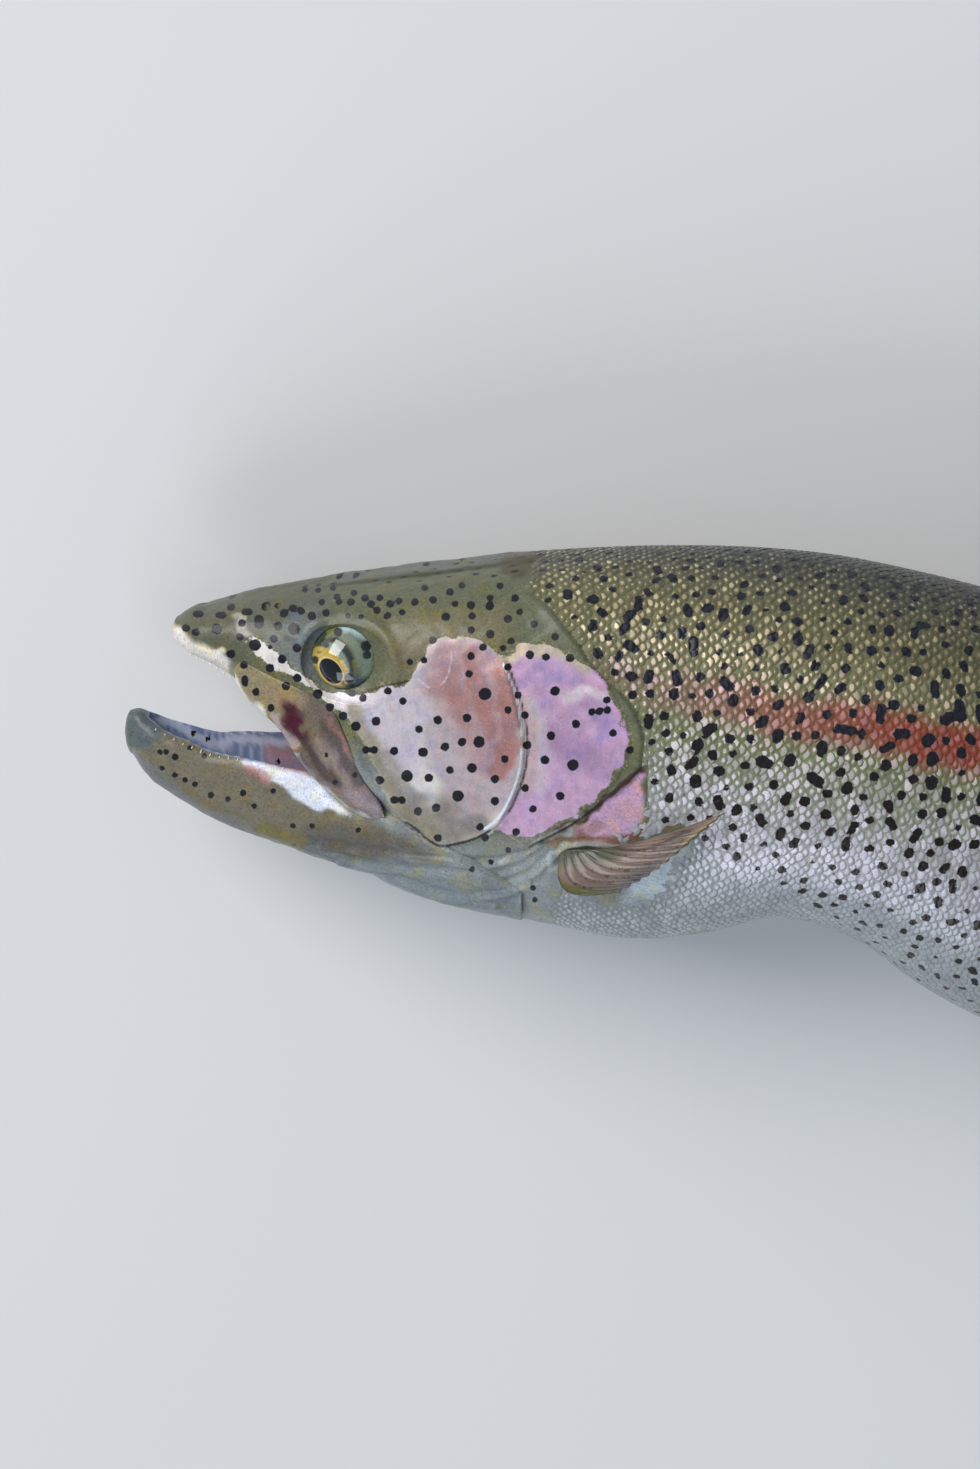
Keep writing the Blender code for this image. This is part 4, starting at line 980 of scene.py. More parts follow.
def scale_rows():
    """Ring by ring, the places of the scales' free ends: s, arc, side, ring number and spacings."""
    found, s, ring = [], FLANK_STATIONS[0] + 6.0, 0
    while s < SCALES_END:
        apart, across = smooth(RING_SPACING, 1, s), smooth(ROW_SPACING, 1, s)
        girth, lateral = np.interp(s, FLANK_STATIONS, GIRTH), np.interp(s, FLANK_STATIONS, LATERAL_ARC)
        first = math.ceil(-lateral / across)
        last = math.floor((girth - lateral) / across)
        rows = (np.arange(first, last + 1) + 0.5 * (ring % 2)) * across + lateral
        for side in (1.0, -1.0):
            for arc in rows:
                found.append((s, arc, side, apart, across))
        s += apart
        ring += 1
    found = np.array(found)
    centres, _ = on_flank(found[:, 0], found[:, 1], found[:, 2])
    return found[(bare_gap(chart(centres)) < EDGE_MARGIN) | (found[:, 0] > ALL_SCALED_FROM)]


# One scale: columns across it and rows from its root to its free edge and down over it
SCALE_ACROSS = np.array((-1.0, -0.62, 0.0, 0.62, 1.0))
SCALE_ALONG = ((0.28, -0.16), (0.52, -0.02), (0.76, 0.08), (0.97, 0.17), (1.0, -0.06))
SCALE_LENGTH = 3.1
SCALE_WIDTH = 0.60
# Side of a scale's patch on the unwrap, and the arc that takes up a whole unit of it
SCALE_PATCH = 0.003
UNWRAP_ARC = 380.0


def scales(name, rows, spots, seed):
    """A coat of overlapping scales as one mesh, each a small arched shield with its root under the next."""
    draw = np.random.default_rng(seed)
    count = len(rows)
    columns, along = len(SCALE_ACROSS), len(SCALE_ALONG)
    s, arc, side, apart, across = (rows[:, c][:, None, None] for c in range(5))
    share = np.array([row[0] for row in SCALE_ALONG])[None, :, None]
    lift = np.array([row[1] for row in SCALE_ALONG])[None, :, None]
    over = SCALE_ACROSS[None, None, :]
    size = draw.uniform(0.88, 1.14, (count, 1, 1))
    turn = draw.normal(0.0, 0.07, (count, 1, 1))
    length = SCALE_LENGTH * apart * size
    free = 0.36 * np.sqrt(np.clip(1 - (over * 0.985) ** 2, 0, 1)) + 0.64
    back = (share * free - 1.0) * length
    swell = 0.72 + 0.28 * np.sin(np.clip(share, 0, 0.97) * math.pi * 0.75)
    wide = over * SCALE_WIDTH * across * size * swell
    place_s = s + back - wide * turn + apart * draw.normal(0.0, 0.16, (count, 1, 1))
    place_arc = arc + wide + back * turn + across * draw.normal(0.0, 0.09, (count, 1, 1))
    camber = 0.08 * (1 - over**2)
    tilt = draw.normal(0.0, 0.03, (count, 1, 1)) * over
    rise = np.interp(flank_level(rows[:, 0], rows[:, 1]), (-40.0, 20.0), (0.32, 0.8))[:, None, None]
    height = (lift + camber * (lift > -0.05) + tilt * share) * rise * (0.6 + 0.4 * across / 3.1) - 0.10
    points, normals = on_flank(place_s, place_arc, np.broadcast_to(side, place_s.shape))
    points = points + normals * height[..., None]

    corner = np.arange(columns * along).reshape(along, columns)
    faces = np.array(
        [(corner[i, j], corner[i, j + 1], corner[i + 1, j + 1], corner[i + 1, j])
         for i in range(along - 1) for j in range(columns - 1)]
    )
    every = (np.arange(count)[:, None, None] * columns * along + faces[None]).reshape(-1, 4)
    right = np.repeat(rows[:, 2] < 0, len(faces))
    every[right] = every[right][:, ::-1]
    mesh = bpy.data.meshes.new(name)
    mesh.from_pydata((points.reshape(-1, 3) * MM).tolist(), [], every.tolist())
    piece = bpy.data.objects.new(name, mesh)
    bpy.context.scene.collection.objects.link(piece)

    each = columns * along
    level = flank_level(rows[:, 0], rows[:, 1])
    skin, middle = flank_tones(rows[:, 0], rows[:, 1])
    fill = np.interp(level, [row[0] for row in FLANK_TONES], [row[3] for row in FLANK_TONES])
    keep(piece, "tone", np.repeat(skin * draw.uniform(0.9, 1.1, (count, 1)), each, axis=0))
    # A scale's bright middle is partly its pearly colour and partly a painted reflection
    spread = np.interp(level, (-40.0, 10.0), (0.2, 0.55))[:, None]
    middle = middle * np.interp(rows[:, 0], (100.0, 150.0, 215.0), (1.3, 1.15, 0.9))[:, None]
    middle = middle * (1.12 - spread * draw.uniform(0.0, 1.0, (count, 1)))
    keep(piece, "pearl_and_glint", np.repeat(middle, each, axis=0))
    roots = on_flank(rows[:, 0], rows[:, 1], rows[:, 2])[0]
    fill = fill * draw.uniform(0.45, 1.25, count) * (1 - 0.7 * ease(bare_gap(chart(roots)), -5.0, 0.5))
    keep(piece, "fill", np.repeat(fill, each))
    keep(piece, "share", np.broadcast_to(share, place_s.shape).reshape(-1))
    keep(piece, "over", np.broadcast_to(over, place_s.shape).reshape(-1))
    flat = points.reshape(-1, 3)
    keep(piece, "spot", spot_field(flat, spots))
    keep(piece, "low", np.repeat(1 - ease(level, -30.0, 10.0), each))
    unwrap_scales(piece, rows, each, columns, along)
    return piece


def unwrap_scales(piece, rows, each, columns, along):
    """Gives every scale its own small patch, at its root's place on an unwrap of the body."""
    layer = piece.data.uv_layers.new(name="OFBake")
    root_u = rows[:, 0] / (TAIL_TIP + 10.0)
    root_v = 0.5 + rows[:, 2] * (rows[:, 1] / UNWRAP_ARC + 0.01)
    sides = np.linspace(0, SCALE_PATCH, along), np.linspace(0, SCALE_PATCH, columns)
    local = np.stack(np.meshgrid(*sides, indexing="ij"), axis=-1).reshape(1, each, 2)
    spread = (np.column_stack([root_u, root_v])[:, None, :] + local).reshape(-1, 2)
    corners = np.empty(len(piece.data.loops), np.int32)
    piece.data.loops.foreach_get("vertex_index", corners)
    layer.data.foreach_set("uv", spread[corners].astype(np.float32).ravel())


# Points round a loft, on its left side and on its right
HEAD_COLUMNS = (205, 92)
JAW_COLUMNS = (90, 46)
TRUNK_COLUMNS = (110, 60)


def skin_of_head(spots):
    """Head, jaws, throat, cheeks and gill covers as one skin, with the mouth and the orbits hollowed out."""
    places = stations(SNOUT_TIP[0], HEAD_SKIN_END, 0.66, 30)
    rings = loft(BODY, places, *HEAD_COLUMNS, nose=(SNOUT_TIP, BODY[0][0]))
    head = tube("skin_head", displaced(rings, relief))
    places = stations(CHIN_TIP[0], JAW[-1][0], 0.75, 24)
    rings = loft(JAW, places, *JAW_COLUMNS, nose=(CHIN_TIP, JAW[0][0]))
    jaw = tube("jaw", displaced(rings, relief))
    carve(head, "UNION", [jaw])
    cutters = [mouth_hollow()]
    for side in (1, -1):
        place = (ORBIT_PLACE[0], side * ORBIT_PLACE[1], ORBIT_PLACE[2])
        cutters.append(ball("orbit", place, ORBIT_SIZE, lean=[side * slope for slope in ORBIT_LEAN]))
        place = (EYE_PLACE[0], side * EYE_PLACE[1], EYE_PLACE[2])
        cutters.append(ball("socket", place, [EYE_RADIUS + SOCKET_GAP] * 3))
        for s, l, v, size in NOSTRILS:
            radii = (size, size * 1.6, size * 1.1)
            cutters.append(ball("nostril", (s, side * l, v), radii, segments=24, rows=16))
    carve(head, "DIFFERENCE", cutters)
    points = straight(head)
    where = chart(points)
    skin, plate, lining = head_tones(points)
    keep(head, "tone", skin)
    keep(head, "plate_tone", plate)
    keep(head, "lining_tone", lining)
    keep(head, "plate", region_gap(wavering(points, where), PLATE) / PIXELS_PER_MM)
    keep(head, "lining", lining_mask(points))
    spots = np.vstack([crown_spots(8), spots[spots[:, 0] < HEAD_SKIN_END + 3.0]])
    keep(head, "spot", np.minimum(mark_field(where, MARKS), spot_field(points, spots)))
    keep(head, "shaded_crease", nearest_line(where, SHADED_CREASES))
    keep(head, "pale", nearest_line(where, PALE_LINES))
    keep(head, "canal", nearest_line(where, CANALS))
    return head


# The values of the head's finer marks where there are none
NO_MARKS = {"plate": -9.0, "lining": 0.0, "spot": 5.0, "shaded_crease": 9.0, "pale": 9.0, "canal": 9.0}


def plain_marks(piece, *names):
    """Stores that a piece has none of the head's finer marks, save for those named."""
    nothing = np.zeros(len(piece.data.vertices))
    for name, value in NO_MARKS.items():
        if name not in names:
            keep(piece, name, nothing + value)


def lining_mask(points):
    """1 on the walls of the mouth's hollow, 0 on the outer skin."""
    s, side, v = points.T
    back, belly, half, level, full_up, full_low = section(MOUTH, s)
    up = v >= level
    reach = np.where(up, (v - level) / (back - level), (level - v) / (level - belly))
    power = np.where(up, full_up, full_low)
    fill = np.abs(side / half) ** power + np.clip(reach, 0, 9) ** power
    return (1 - ease(fill, 1.02, 1.25)) * (s > MOUTH[0][0] - 0.5) * (s < MOUTH[-1][0] + 0.5)


def skin_of_trunk(spots):
    """The body's skin under the scales, out to the root of the tail."""
    places = stations(TRUNK_SKIN_START, TRUNK_END + 3.0, 1.9)
    trunk = tube("skin_trunk", loft(BODY, places, *TRUNK_COLUMNS, inset=SCALE_DEPTH + 0.08))
    points = straight(trunk)
    half = np.interp(points[:, 0], FLANK_STATIONS, GIRTH)
    back, belly = smooth(BODY, 1, points[:, 0]), smooth(BODY, 2, points[:, 0])
    arc = half * np.clip((points[:, 2] - belly) / (back - belly), 0, 1)
    keep(trunk, "tone", flank_tones(points[:, 0], arc)[0])
    keep(trunk, "spot", spot_field(points, spots))
    plain_marks(trunk, "spot")
    return trunk


def side_reach(profile, s, v):
    """How far the flank reaches from the middle plane at s and v."""
    back, belly, half, level, full_up, full_low = section(profile, s)
    up = v >= level
    share = np.clip(np.where(up, (v - level) / (back - level), (level - v) / (level - belly)), 0, 0.999)
    power = np.where(up, full_up, full_low)
    return half * (1 - share**power) ** (1 / power)


def cheek_reach(s, v):
    """The flank of the head, carried on below its widest level as a nearly upright wall."""
    half, level = smooth(BODY, 3, s), smooth(BODY, 4, s)
    wall = half * (1 - np.clip((level - v) / 60, 0, 1) ** 2)
    return np.where((v < level) & (s < 60), wall, side_reach(BODY, s, v))


def maxilla(side, word):
    """The long bone of the upper lip, as a rounded blade along the side of the mouth."""
    rows, around = 110, 48
    first, second = edge_points(MAXILLA_TOP, rows), edge_points(MAXILLA_LOW, rows)
    turn = np.linspace(0, 2 * math.pi, around, endpoint=False)
    t = np.linspace(0, 1, rows)
    tuck = (1 - np.clip((t - 0.9) / 0.1, 0, 1) ** 3) * (1 - np.clip((0.06 - t) / 0.06, 0, 1) ** 3)
    share = 0.5 - 0.5 * np.sign(np.cos(turn)) * np.abs(np.cos(turn)) ** 0.7 * tuck[:, None]
    flat = first[:, None] * (1 - share[..., None]) + second[:, None] * share[..., None]
    proud = np.interp(t, (0.0, 0.12, 0.5, 0.92, 1.0), (0.1, 0.8, 1.2, 1.1, 0.2))[:, None]
    lip = 0.45 * np.exp(-(((share - 0.88) / 0.10) ** 2)) - 0.25 * np.exp(-(((share - 0.66) / 0.12) ** 2))
    lift = np.sin(turn)[None, :]
    height = np.where(lift > 0, (proud + lip) * np.abs(lift) ** 0.6, -2.6 * np.abs(lift) ** 0.6)
    reach = cheek_reach(flat[..., 0], flat[..., 1])
    rings = np.dstack([flat[..., 0], side * (reach + height), flat[..., 1]])
    blade = tube(f"maxilla_skin_{word}", rings)
    points = straight(blade)
    where = chart(points)
    tone = np.zeros_like(points) + MAXILLA_MID
    keep(blade, "tone", painted(tone, wavering(points, where), MAXILLA_REGIONS, MAXILLA_STROKES))
    keep(blade, "spot", mark_field(where, MARKS))
    plain_marks(blade, "spot")
    return blade


MAXILLA_REGIONS = (
    (MAXILLA_FRONT, 8, ((215, 650), (290, 680), (306, 700), (280, 735), (250, 712), (222, 675))),
    (MAXILLA_REAR, 10, ((330, 740), (350, 735), (400, 815), (380, 830), (330, 800), (316, 775))),
)
MAXILLA_STROKES = (
    (BAND_WHITE, 0.8, 4, ((226, 668), (236, 686), (250, 704), (262, 714))),
    (LIP_GREY, 0.75, 3, (
        (297, 757), (310, 775), (325, 790), (340, 805), (355, 815), (372, 821), (385, 820),
    )),
    (CHEEK_ORANGE, 0.2, 6, ((262, 690), (280, 700), (300, 700))),
    (WOUND, 0.97, 8, ((288, 708), (294, 722), (300, 735))),
    (WOUND, 0.7, 4, ((283, 718), (286, 728))),
    (CHEEK_LILAC, 0.6, 4, ((276, 716), (281, 732), (292, 746))),
    ((0.040, 0.030, 0.028), 0.75, 5, ((300, 742), (312, 752), (322, 770), (336, 782))),
    ((0.060, 0.050, 0.045), 0.7, 4, ((322, 722), (334, 740), (346, 762), (360, 782))),
    ((0.28, 0.22, 0.17), 0.7, 5, ((318, 742), (332, 762), (348, 782))),
    ((0.34, 0.27, 0.30), 0.5, 5, ((350, 792), (364, 806), (378, 812))),
    ((0.05, 0.035, 0.035), 0.6, 2, ((300, 757), (313, 778), (330, 798), (350, 814))),
    (BEHIND_EYE, 0.7, 4, ((306, 724), (313, 720), (319, 728), (313, 734))),
    (CHEEK_ORANGE, 0.4, 3, ((332, 722), (346, 748))),
)


def tongue():
    """The tongue, arched over the floor of the mouth."""
    rows, around = 70, 40
    s = np.linspace(TONGUE[0][0] - 1.0, TONGUE[-1][0], rows)
    turn = np.linspace(0, 2 * math.pi, around, endpoint=False)
    taper = np.clip((s - s[0]) / 2.5, 0, 1)[:, None] ** 0.5
    half = smooth(TONGUE, 1, s)[:, None] * np.cos(turn)[None, :] * taper
    floor, width, level, full_low = (smooth(MOUTH, column, s)[:, None] for column in (2, 3, 4, 6))
    out = np.clip(np.abs(half / width), 0, 0.99)
    bed = level - (level - floor) * (1 - out**full_low) ** (1 / full_low)
    groove = 0.8 * np.exp(-((half / 1.4) ** 2))
    crown = 1.0 + smooth(TONGUE, 2, s)[:, None] - groove
    lift = np.sin(turn)[None, :]
    height = np.where(lift > 0, bed + crown * np.abs(lift) ** 0.8, bed - 1.0 * np.abs(lift))
    rings = np.dstack([np.broadcast_to(s[:, None], half.shape), half, height])
    rings[0], rings[-1] = rings[0].mean(axis=0), rings[-1].mean(axis=0)
    return tube("tongue_skin", rings)


def rim_level(s):
    """Level of the lower jaw's rim, where the mouth's hollow meets the jaw's outer side."""
    top, _, half, level, full_up, _ = section(JAW, s)
    share = np.clip((half - 1.5) / half, 0, 1)
    return level + (top - level) * (1 - share**full_up) ** (1 / full_up)


# Rows of teeth as first s, last s and count, and a tooth's radii
LOWER_TEETH = (-8.0, 26.0, 15)
UPPER_TEETH = (2.5, 13.0, 7)
TOOTH_ROOT = 0.28
TOOTH_TIP = 0.04


def teeth():
    """Small hooked teeth along the rims of both jaws."""
    draw = np.random.default_rng(21)
    places = []
    for side in (1, -1):
        for s in np.linspace(*LOWER_TEETH):
            places.append((s, side * (smooth(JAW, 3, s) - 1.7), rim_level(s) - 0.3, 1))
        for s in np.linspace(*UPPER_TEETH):
            places.append((s, side * smooth(BODY, 3, s) * 0.74, smooth(BODY, 2, s) + 1.2, -1))
    made = []
    for s, l, v, way in places:
        deselect()
        bpy.ops.mesh.primitive_cone_add(vertices=10, radius1=TOOTH_ROOT, radius2=TOOTH_TIP, depth=1.0)
        tooth = bpy.context.active_object
        points = straight(tooth) * MM
        height = points[:, 2] + 0.5
        points[:, 2] = height * way * draw.uniform(0.7, 1.1)
        points[:, 0] += 0.3 * height**2
        tooth.data.vertices.foreach_set("co", ((points + (s, l, v)) * MM).ravel())
        made.append(tooth)
    deselect()
    for tooth in made:
        tooth.select_set(True)
    bpy.context.view_layer.objects.active = made[0]
    bpy.ops.object.join()
    made[0].name = "teeth"
    edit(made[0], (bpy.ops.mesh.normals_make_consistent, {"inside": False}))
    return made[0]


def eyeball(side, word):
    """An eyeball with a low bulge over the iris by the angle from its gaze, painted by its place in the
    photograph.
    """
    place = np.array((EYE_PLACE[0], side * EYE_PLACE[1], EYE_PLACE[2]))
    eye = ball(f"eyeball_{word}", place, [EYE_RADIUS] * 3, segments=160, rows=110)
    gaze = np.array(GAZE) * (1, side, 1)
    off = (straight(eye) - place) / EYE_RADIUS
    angle = np.degrees(np.arccos(np.clip(off @ gaze, -1, 1)))
    bulge = 1 + 0.035 * (1 - ease(angle, 22.0, 52.0))
    eye.data.vertices.foreach_set("co", ((place + off * EYE_RADIUS * bulge[:, None]) * MM).ravel())
    points = straight(eye)
    where = chart(points)
    keep(eye, "tone", painted(np.zeros_like(points) + EYE_GREY, where, EYE_REGIONS, EYE_STROKES))
    way = where - PUPIL_CENTRE
    long, short = way @ PUPIL_WAY, way @ (PUPIL_WAY[::-1] * (-1, 1))
    keep(eye, "pupil", np.hypot(long / PUPIL_SIZE[0], short / PUPIL_SIZE[1]))
    keep(eye, "spot", mark_field(where, long_marks(EYE_SPOTS)))
    return eye


# The eye, in pixels of the photograph. Its pale cyan and sky-blue top is a painted reflection of the sky
EYE_GREY = (0.13, 0.155, 0.125)
EYE_DARK = (0.020, 0.026, 0.028)
EYE_OLIVE = (0.13, 0.145, 0.045)
EYE_SKY_REFLECTION = (0.26, 0.38, 0.48)
EYE_CYAN_REFLECTION = (0.44, 0.60, 0.62)
EYE_GREEN = (0.26, 0.34, 0.26)
EYE_BROWN = (0.085, 0.085, 0.050)
EYE_GOLD = (0.40, 0.29, 0.06)
EYE_CREAM = (0.62, 0.46, 0.22)
EYE_BLUE = (0.07, 0.10, 0.13)
IRIS_GREY = (0.17, 0.23, 0.19)
PUPIL_CENTRE = np.array((331.0, 671.0))
PUPIL_WAY = np.array((0.62, 0.785))
PUPIL_SIZE = (14.5, 9.5)
EYE_REGIONS = (
    (EYE_OLIVE, 4, (
        (306, 640), (318, 624), (340, 618), (346, 632), (330, 642), (318, 652), (308, 660),
    )),
    # Painted reflection of the sky on the top of the wet dome
    (EYE_CYAN_REFLECTION, 5, (
        (338, 622), (352, 612), (368, 618), (378, 636), (380, 650), (368, 640), (356, 636), (344, 632),
    )),
    (EYE_GREEN, 4, ((372, 640), (384, 640), (384, 668), (370, 676), (362, 676), (362, 664))),
    (EYE_BROWN, 4, (
        (330, 636), (350, 632), (362, 645), (366, 668), (358, 676), (350, 668), (346, 650), (334, 644),
    )),
    (IRIS_GREY, 2, (
        (318, 648), (326, 641), (342, 645), (352, 660), (353, 672), (344, 668), (336, 656), (322, 652),
    )),
    (EYE_GOLD, 1.5, (
        (310, 653), (316, 647), (328, 649), (340, 658), (347, 669), (348, 680), (343, 687), (334, 687),
        (324, 682), (315, 672), (310, 662),
    )),
)
EYE_STROKES = (
    # The first two strokes are a painted reflection of the sky on the dome
    (EYE_SKY_REFLECTION, 0.8, 6, ((340, 621), (350, 618), (362, 621), (370, 627))),
    (EYE_CYAN_REFLECTION, 0.7, 4, ((346, 626), (356, 626), (366, 632))),
    (EYE_DARK, 0.85, 3, ((321, 628), (331, 622), (338, 620))),
    (EYE_DARK, 0.8, 3, ((317, 650), (319, 642), (324, 634))),
    (EYE_DARK, 0.8, 2.5, ((324, 641), (333, 640), (341, 644))),
    (EYE_DARK, 0.95, 3, ((340, 645), (347, 653), (352, 664), (354, 675))),
    (EYE_DARK, 0.9, 3, ((320, 650), (326, 645))),
    (EYE_OLIVE, 0.9, 3, ((355, 662), (357, 674))),
    (EYE_GREEN, 0.5, 5, ((344, 636), (352, 642), (360, 656), (364, 668))),
    (EYE_OLIVE, 0.8, 2.5, ((314, 668), (320, 680), (330, 688))),
    (EYE_DARK, 0.9, 6, ((346, 680), (356, 684), (366, 688))),
    (EYE_BLUE, 0.8, 5, ((348, 676), (358, 680))),
    (EYE_CREAM, 0.8, 2, ((342, 662), (347, 672), (346, 682))),
    (EYE_GOLD, 0.9, 2.5, ((312, 652), (318, 649), (330, 652))),
)
EYE_SPOTS = ((338, 632, 4.5), (366, 646, 5.5), (367, 655, 4.5), (315, 660, 4.0), (349, 678, 5.0))
MARKS = long_marks(HEAD_SPOTS)


# Fins: ends of the paired fins' roots as (s, v), margins as (s, l, v), and how far a root stands off the
# body. The left breast fin's margin was worked back from its pixels in the photograph
PECTORAL_BASE_LEFT = ((116.8, -17.8), (100.2, -20.8))
PECTORAL_BASE_RIGHT = ((103.0, -29.0), (105.5, -36.0))
PELVIC_BASE = ((236.0, -50.0), (245.0, -53.0))
PECTORAL_LEFT = ((140.8, 42.5, -1.0), (131.5, 42.2, -12.0), (124.0, 41.0, -20.8), (116.2, 37.5, -28.6))
PECTORAL_RIGHT = ((154.0, 36.3, -36.0), (152.0, 35.6, -45.0), (141.0, 34.6, -53.0), (127.0, 33.6, -55.0))
PELVIC_LEFT = ((286.0, 37.0, -45.0), (288.0, 34.0, -52.0), (280.0, 29.0, -58.0), (266.0, 25.0, -60.0))
PELVIC_RIGHT = ((285.0, 33.0, -51.0), (285.0, 31.5, -60.0), (276.0, 29.0, -65.0), (264.0, 25.0, -66.0))
DORSAL_MARGIN = ((232.0, 0, 93.0), (246.0, 0, 100.0), (268.0, 0, 86.0), (291.0, 0, 63.0))
ANAL_MARGIN = ((352.0, 0, -83.0), (364.0, 0, -84.0), (379.0, 0, -65.0), (394.0, 0, -47.0))
ADIPOSE_MARGIN = ((369.0, 0, 43.5), (376.0, 0, 43.0), (379.5, 0, 37.5), (375.0, 0, 31.0))
FIN_STAND_OFF = 2.2


def fin(name, bases, tips, normals, halves, steps=46, fine=8, bow=(0.0, 0.0, 0.0), reach=0.09):
    """A fin as a closed sheet whose rays stand up from a thin web and fork towards the margin.

    bow is how far the rays curve at their middle, as one step for all rays or one for each.
    reach is how far the thick root runs out over the fin.
    """
    root, ray_half, web_half = halves
    rays = len(bases)
    place = np.linspace(0, rays - 1, (rays - 1) * fine + 1)
    knots = np.arange(rays)
    bows = np.broadcast_to(np.asarray(bow, float), bases.shape)
    base, tip, normal, bulge = (
        np.column_stack([np.interp(place, knots, table[:, c]) for c in range(3)])
        for table in (bases, tips, normals, bows)
    )
    normal /= np.linalg.norm(normal, axis=1)[:, None]
    web = np.sin(math.pi * place) ** 2
    tip = base + (tip - base) * (1 - 0.03 * web)[:, None]
    arch = np.sqrt(1 - 0.96 * (2 * place / (rays - 1) - 1) ** 2)
    rings, ridge_rows, along_rows = [], [], []
    for t in np.concatenate([[-0.02], np.linspace(0, 1, steps) ** 1.1]):
        fork = 0.22 * float(ease(np.array(t), 0.42, 0.8))
        forks = [np.abs(np.cos(math.pi * (place + way * fork))) for way in (-1, 1)]
        ridge = np.maximum(*forks) ** 5
        centre = base + (tip - base) * t + bulge * math.sin(math.pi * max(t, 0.0))
        blend = math.exp(-max(t, 0.0) / reach)
        thin = web_half + (ray_half - web_half) * (1 - 0.45 * t) * ridge
        half = (root * blend * arch + thin * (1 - blend)) * (1 - max(t, 0.0) ** 12 * 0.7)
        half = half * np.clip(np.minimum(place, rays - 1 - place) * 2 + 0.25, 0, 1)
        rings.append(np.vstack([centre + normal * half[:, None], (centre - normal * half[:, None])[::-1]]))
        ridge_rows.append(np.concatenate([ridge, ridge[::-1]]))
        along_rows.append(np.full(2 * len(place), t))
    rings = np.array(rings)
    middle = (rings + rings[:, ::-1]) / 2
    rings = np.concatenate([middle[:1], rings, middle[-1:]])
    ridges = np.array(ridge_rows[:1] + ridge_rows + ridge_rows[-1:])
    alongs = np.array(along_rows[:1] + along_rows + along_rows[-1:])
    piece = tube(name, rings)
    match(piece, rings, {"ridge": ridges, "along": alongs})
    return piece


def match(piece, rings, values):
    """Gives the piece's points the values of the ring points they were made from."""
    points = straight(piece)
    flat = rings.reshape(-1, 3)
    tree = {}
    keys = np.round(flat * 200).astype(int)
    for i, key in enumerate(map(tuple, keys)):
        tree.setdefault(key, i)
    found = np.array([tree.get(tuple(key), -1) for key in np.round(points * 200).astype(int)])
    for i in np.flatnonzero(found < 0):
        found[i] = np.argmin(((flat - points[i]) ** 2).sum(axis=1))
    for name, table in values.items():
        keep(piece, name, table.reshape(-1)[found])


def crown_spots(seed):
    """Small round marks along the top of the head, clear of the drawn ones."""
    draw = np.random.default_rng(seed)
    tries = []
    for _ in range(CROWN_TRIES):
        upper = half_ring(BODY, draw.uniform(5.0, 124.0))[draw.integers(CROWN_POINT, 181)]
        tries.append(upper * (1, draw.choice((-1, 1)), 1))
    tries = np.array(tries)
    where = chart(tries)
    clear = (mark_field(where, MARKS) > 1.2) & (where[:, 1] < np.interp(where[:, 0], *np.array(CROWN_EDGE).T))
    kept = []
    for place in tries[clear]:
        if all(np.linalg.norm(place - other[:3]) > CROWN_SPACING for other in kept):
            kept.append((*place, draw.uniform(0.75, 1.05)))
    return np.array(kept)


# Places tried, the lowest point used of a half section's 181, spacing, and the lower edge in the photograph
CROWN_TRIES = 2500
CROWN_POINT = 142
CROWN_SPACING = 3.9
CROWN_EDGE = ((150, 606), (300, 582), (440, 582), (540, 575))
# Places tried for the marks of a fin
FIN_TRIES = 1500


def fin_spots(points, seed, spacing, radius):
    """Round marks spread over a fin in the fish's middle plane."""
    draw = np.random.default_rng(seed)
    low, high = points.min(axis=0), points.max(axis=0)
    kept = []
    for _ in range(FIN_TRIES):
        s, v = draw.uniform(low[0], high[0]), draw.uniform(low[2], high[2])
        if all(math.hypot(s - a[0], v - a[2]) > spacing for a in kept):
            kept.append((s, 0.0, v, radius * draw.uniform(0.7, 1.15)))
    return np.array(kept)


FIN_OLIVE = (0.27, 0.24, 0.13)
FIN_PINK = (0.20, 0.145, 0.120)
FIN_PALE = (0.36, 0.33, 0.26)
FIN_ROSE = (0.33, 0.24, 0.19)
FIN_RIM = (0.62, 0.62, 0.60)


# The left breast fin, in pixels of the photograph
PECTORAL_REGIONS = (
    ((0.095, 0.105, 0.070), 6, ((546, 862), (556, 848), (600, 844), (630, 852), (610, 862), (570, 866))),
    ((0.15, 0.135, 0.135), 9, ((610, 900), (630, 872), (662, 858), (650, 885), (625, 900))),
    ((0.11, 0.11, 0.035), 4, (
        (540, 876), (552, 874), (572, 886), (598, 890), (618, 888), (618, 904), (560, 902),
    )),
)
PECTORAL_STROKES = (
    ((0.36, 0.29, 0.10), 0.9, 6, ((688, 846), (706, 832), (730, 816))),
    ((0.020, 0.014, 0.010), 0.85, 1.6, (
        (616, 896), (640, 886), (655, 874), (672, 858), (700, 833), (726, 813),
    )),
    ((0.035, 0.028, 0.018), 0.6, 1.5, ((560, 850), (600, 846), (640, 850), (690, 830))),
)


def paint_fin(piece, colour, spots=None, rim=0.0, here=False):
    """Stores a fin's tone and marks, for the fin that the photograph shows by its place there."""
    points = straight(piece)
    tone = np.zeros_like(points) + colour
    along = np.empty(len(points), np.float32)
    piece.data.attributes["along"].data.foreach_get("value", along)
    tone = tone * (1.0 + 0.15 * waves(points, 14.0, 31)[:, None])
    tone = laid_on(tone, FIN_RIM, rim * ease(along, 0.93, 0.99))
    if here:
        tone = painted(tone, chart(points), PECTORAL_REGIONS, PECTORAL_STROKES)
    keep(piece, "tone", tone)
    keep(piece, "spot", spot_field(points, spots) if spots is not None else points[:, 0] * 0 + 5.0)


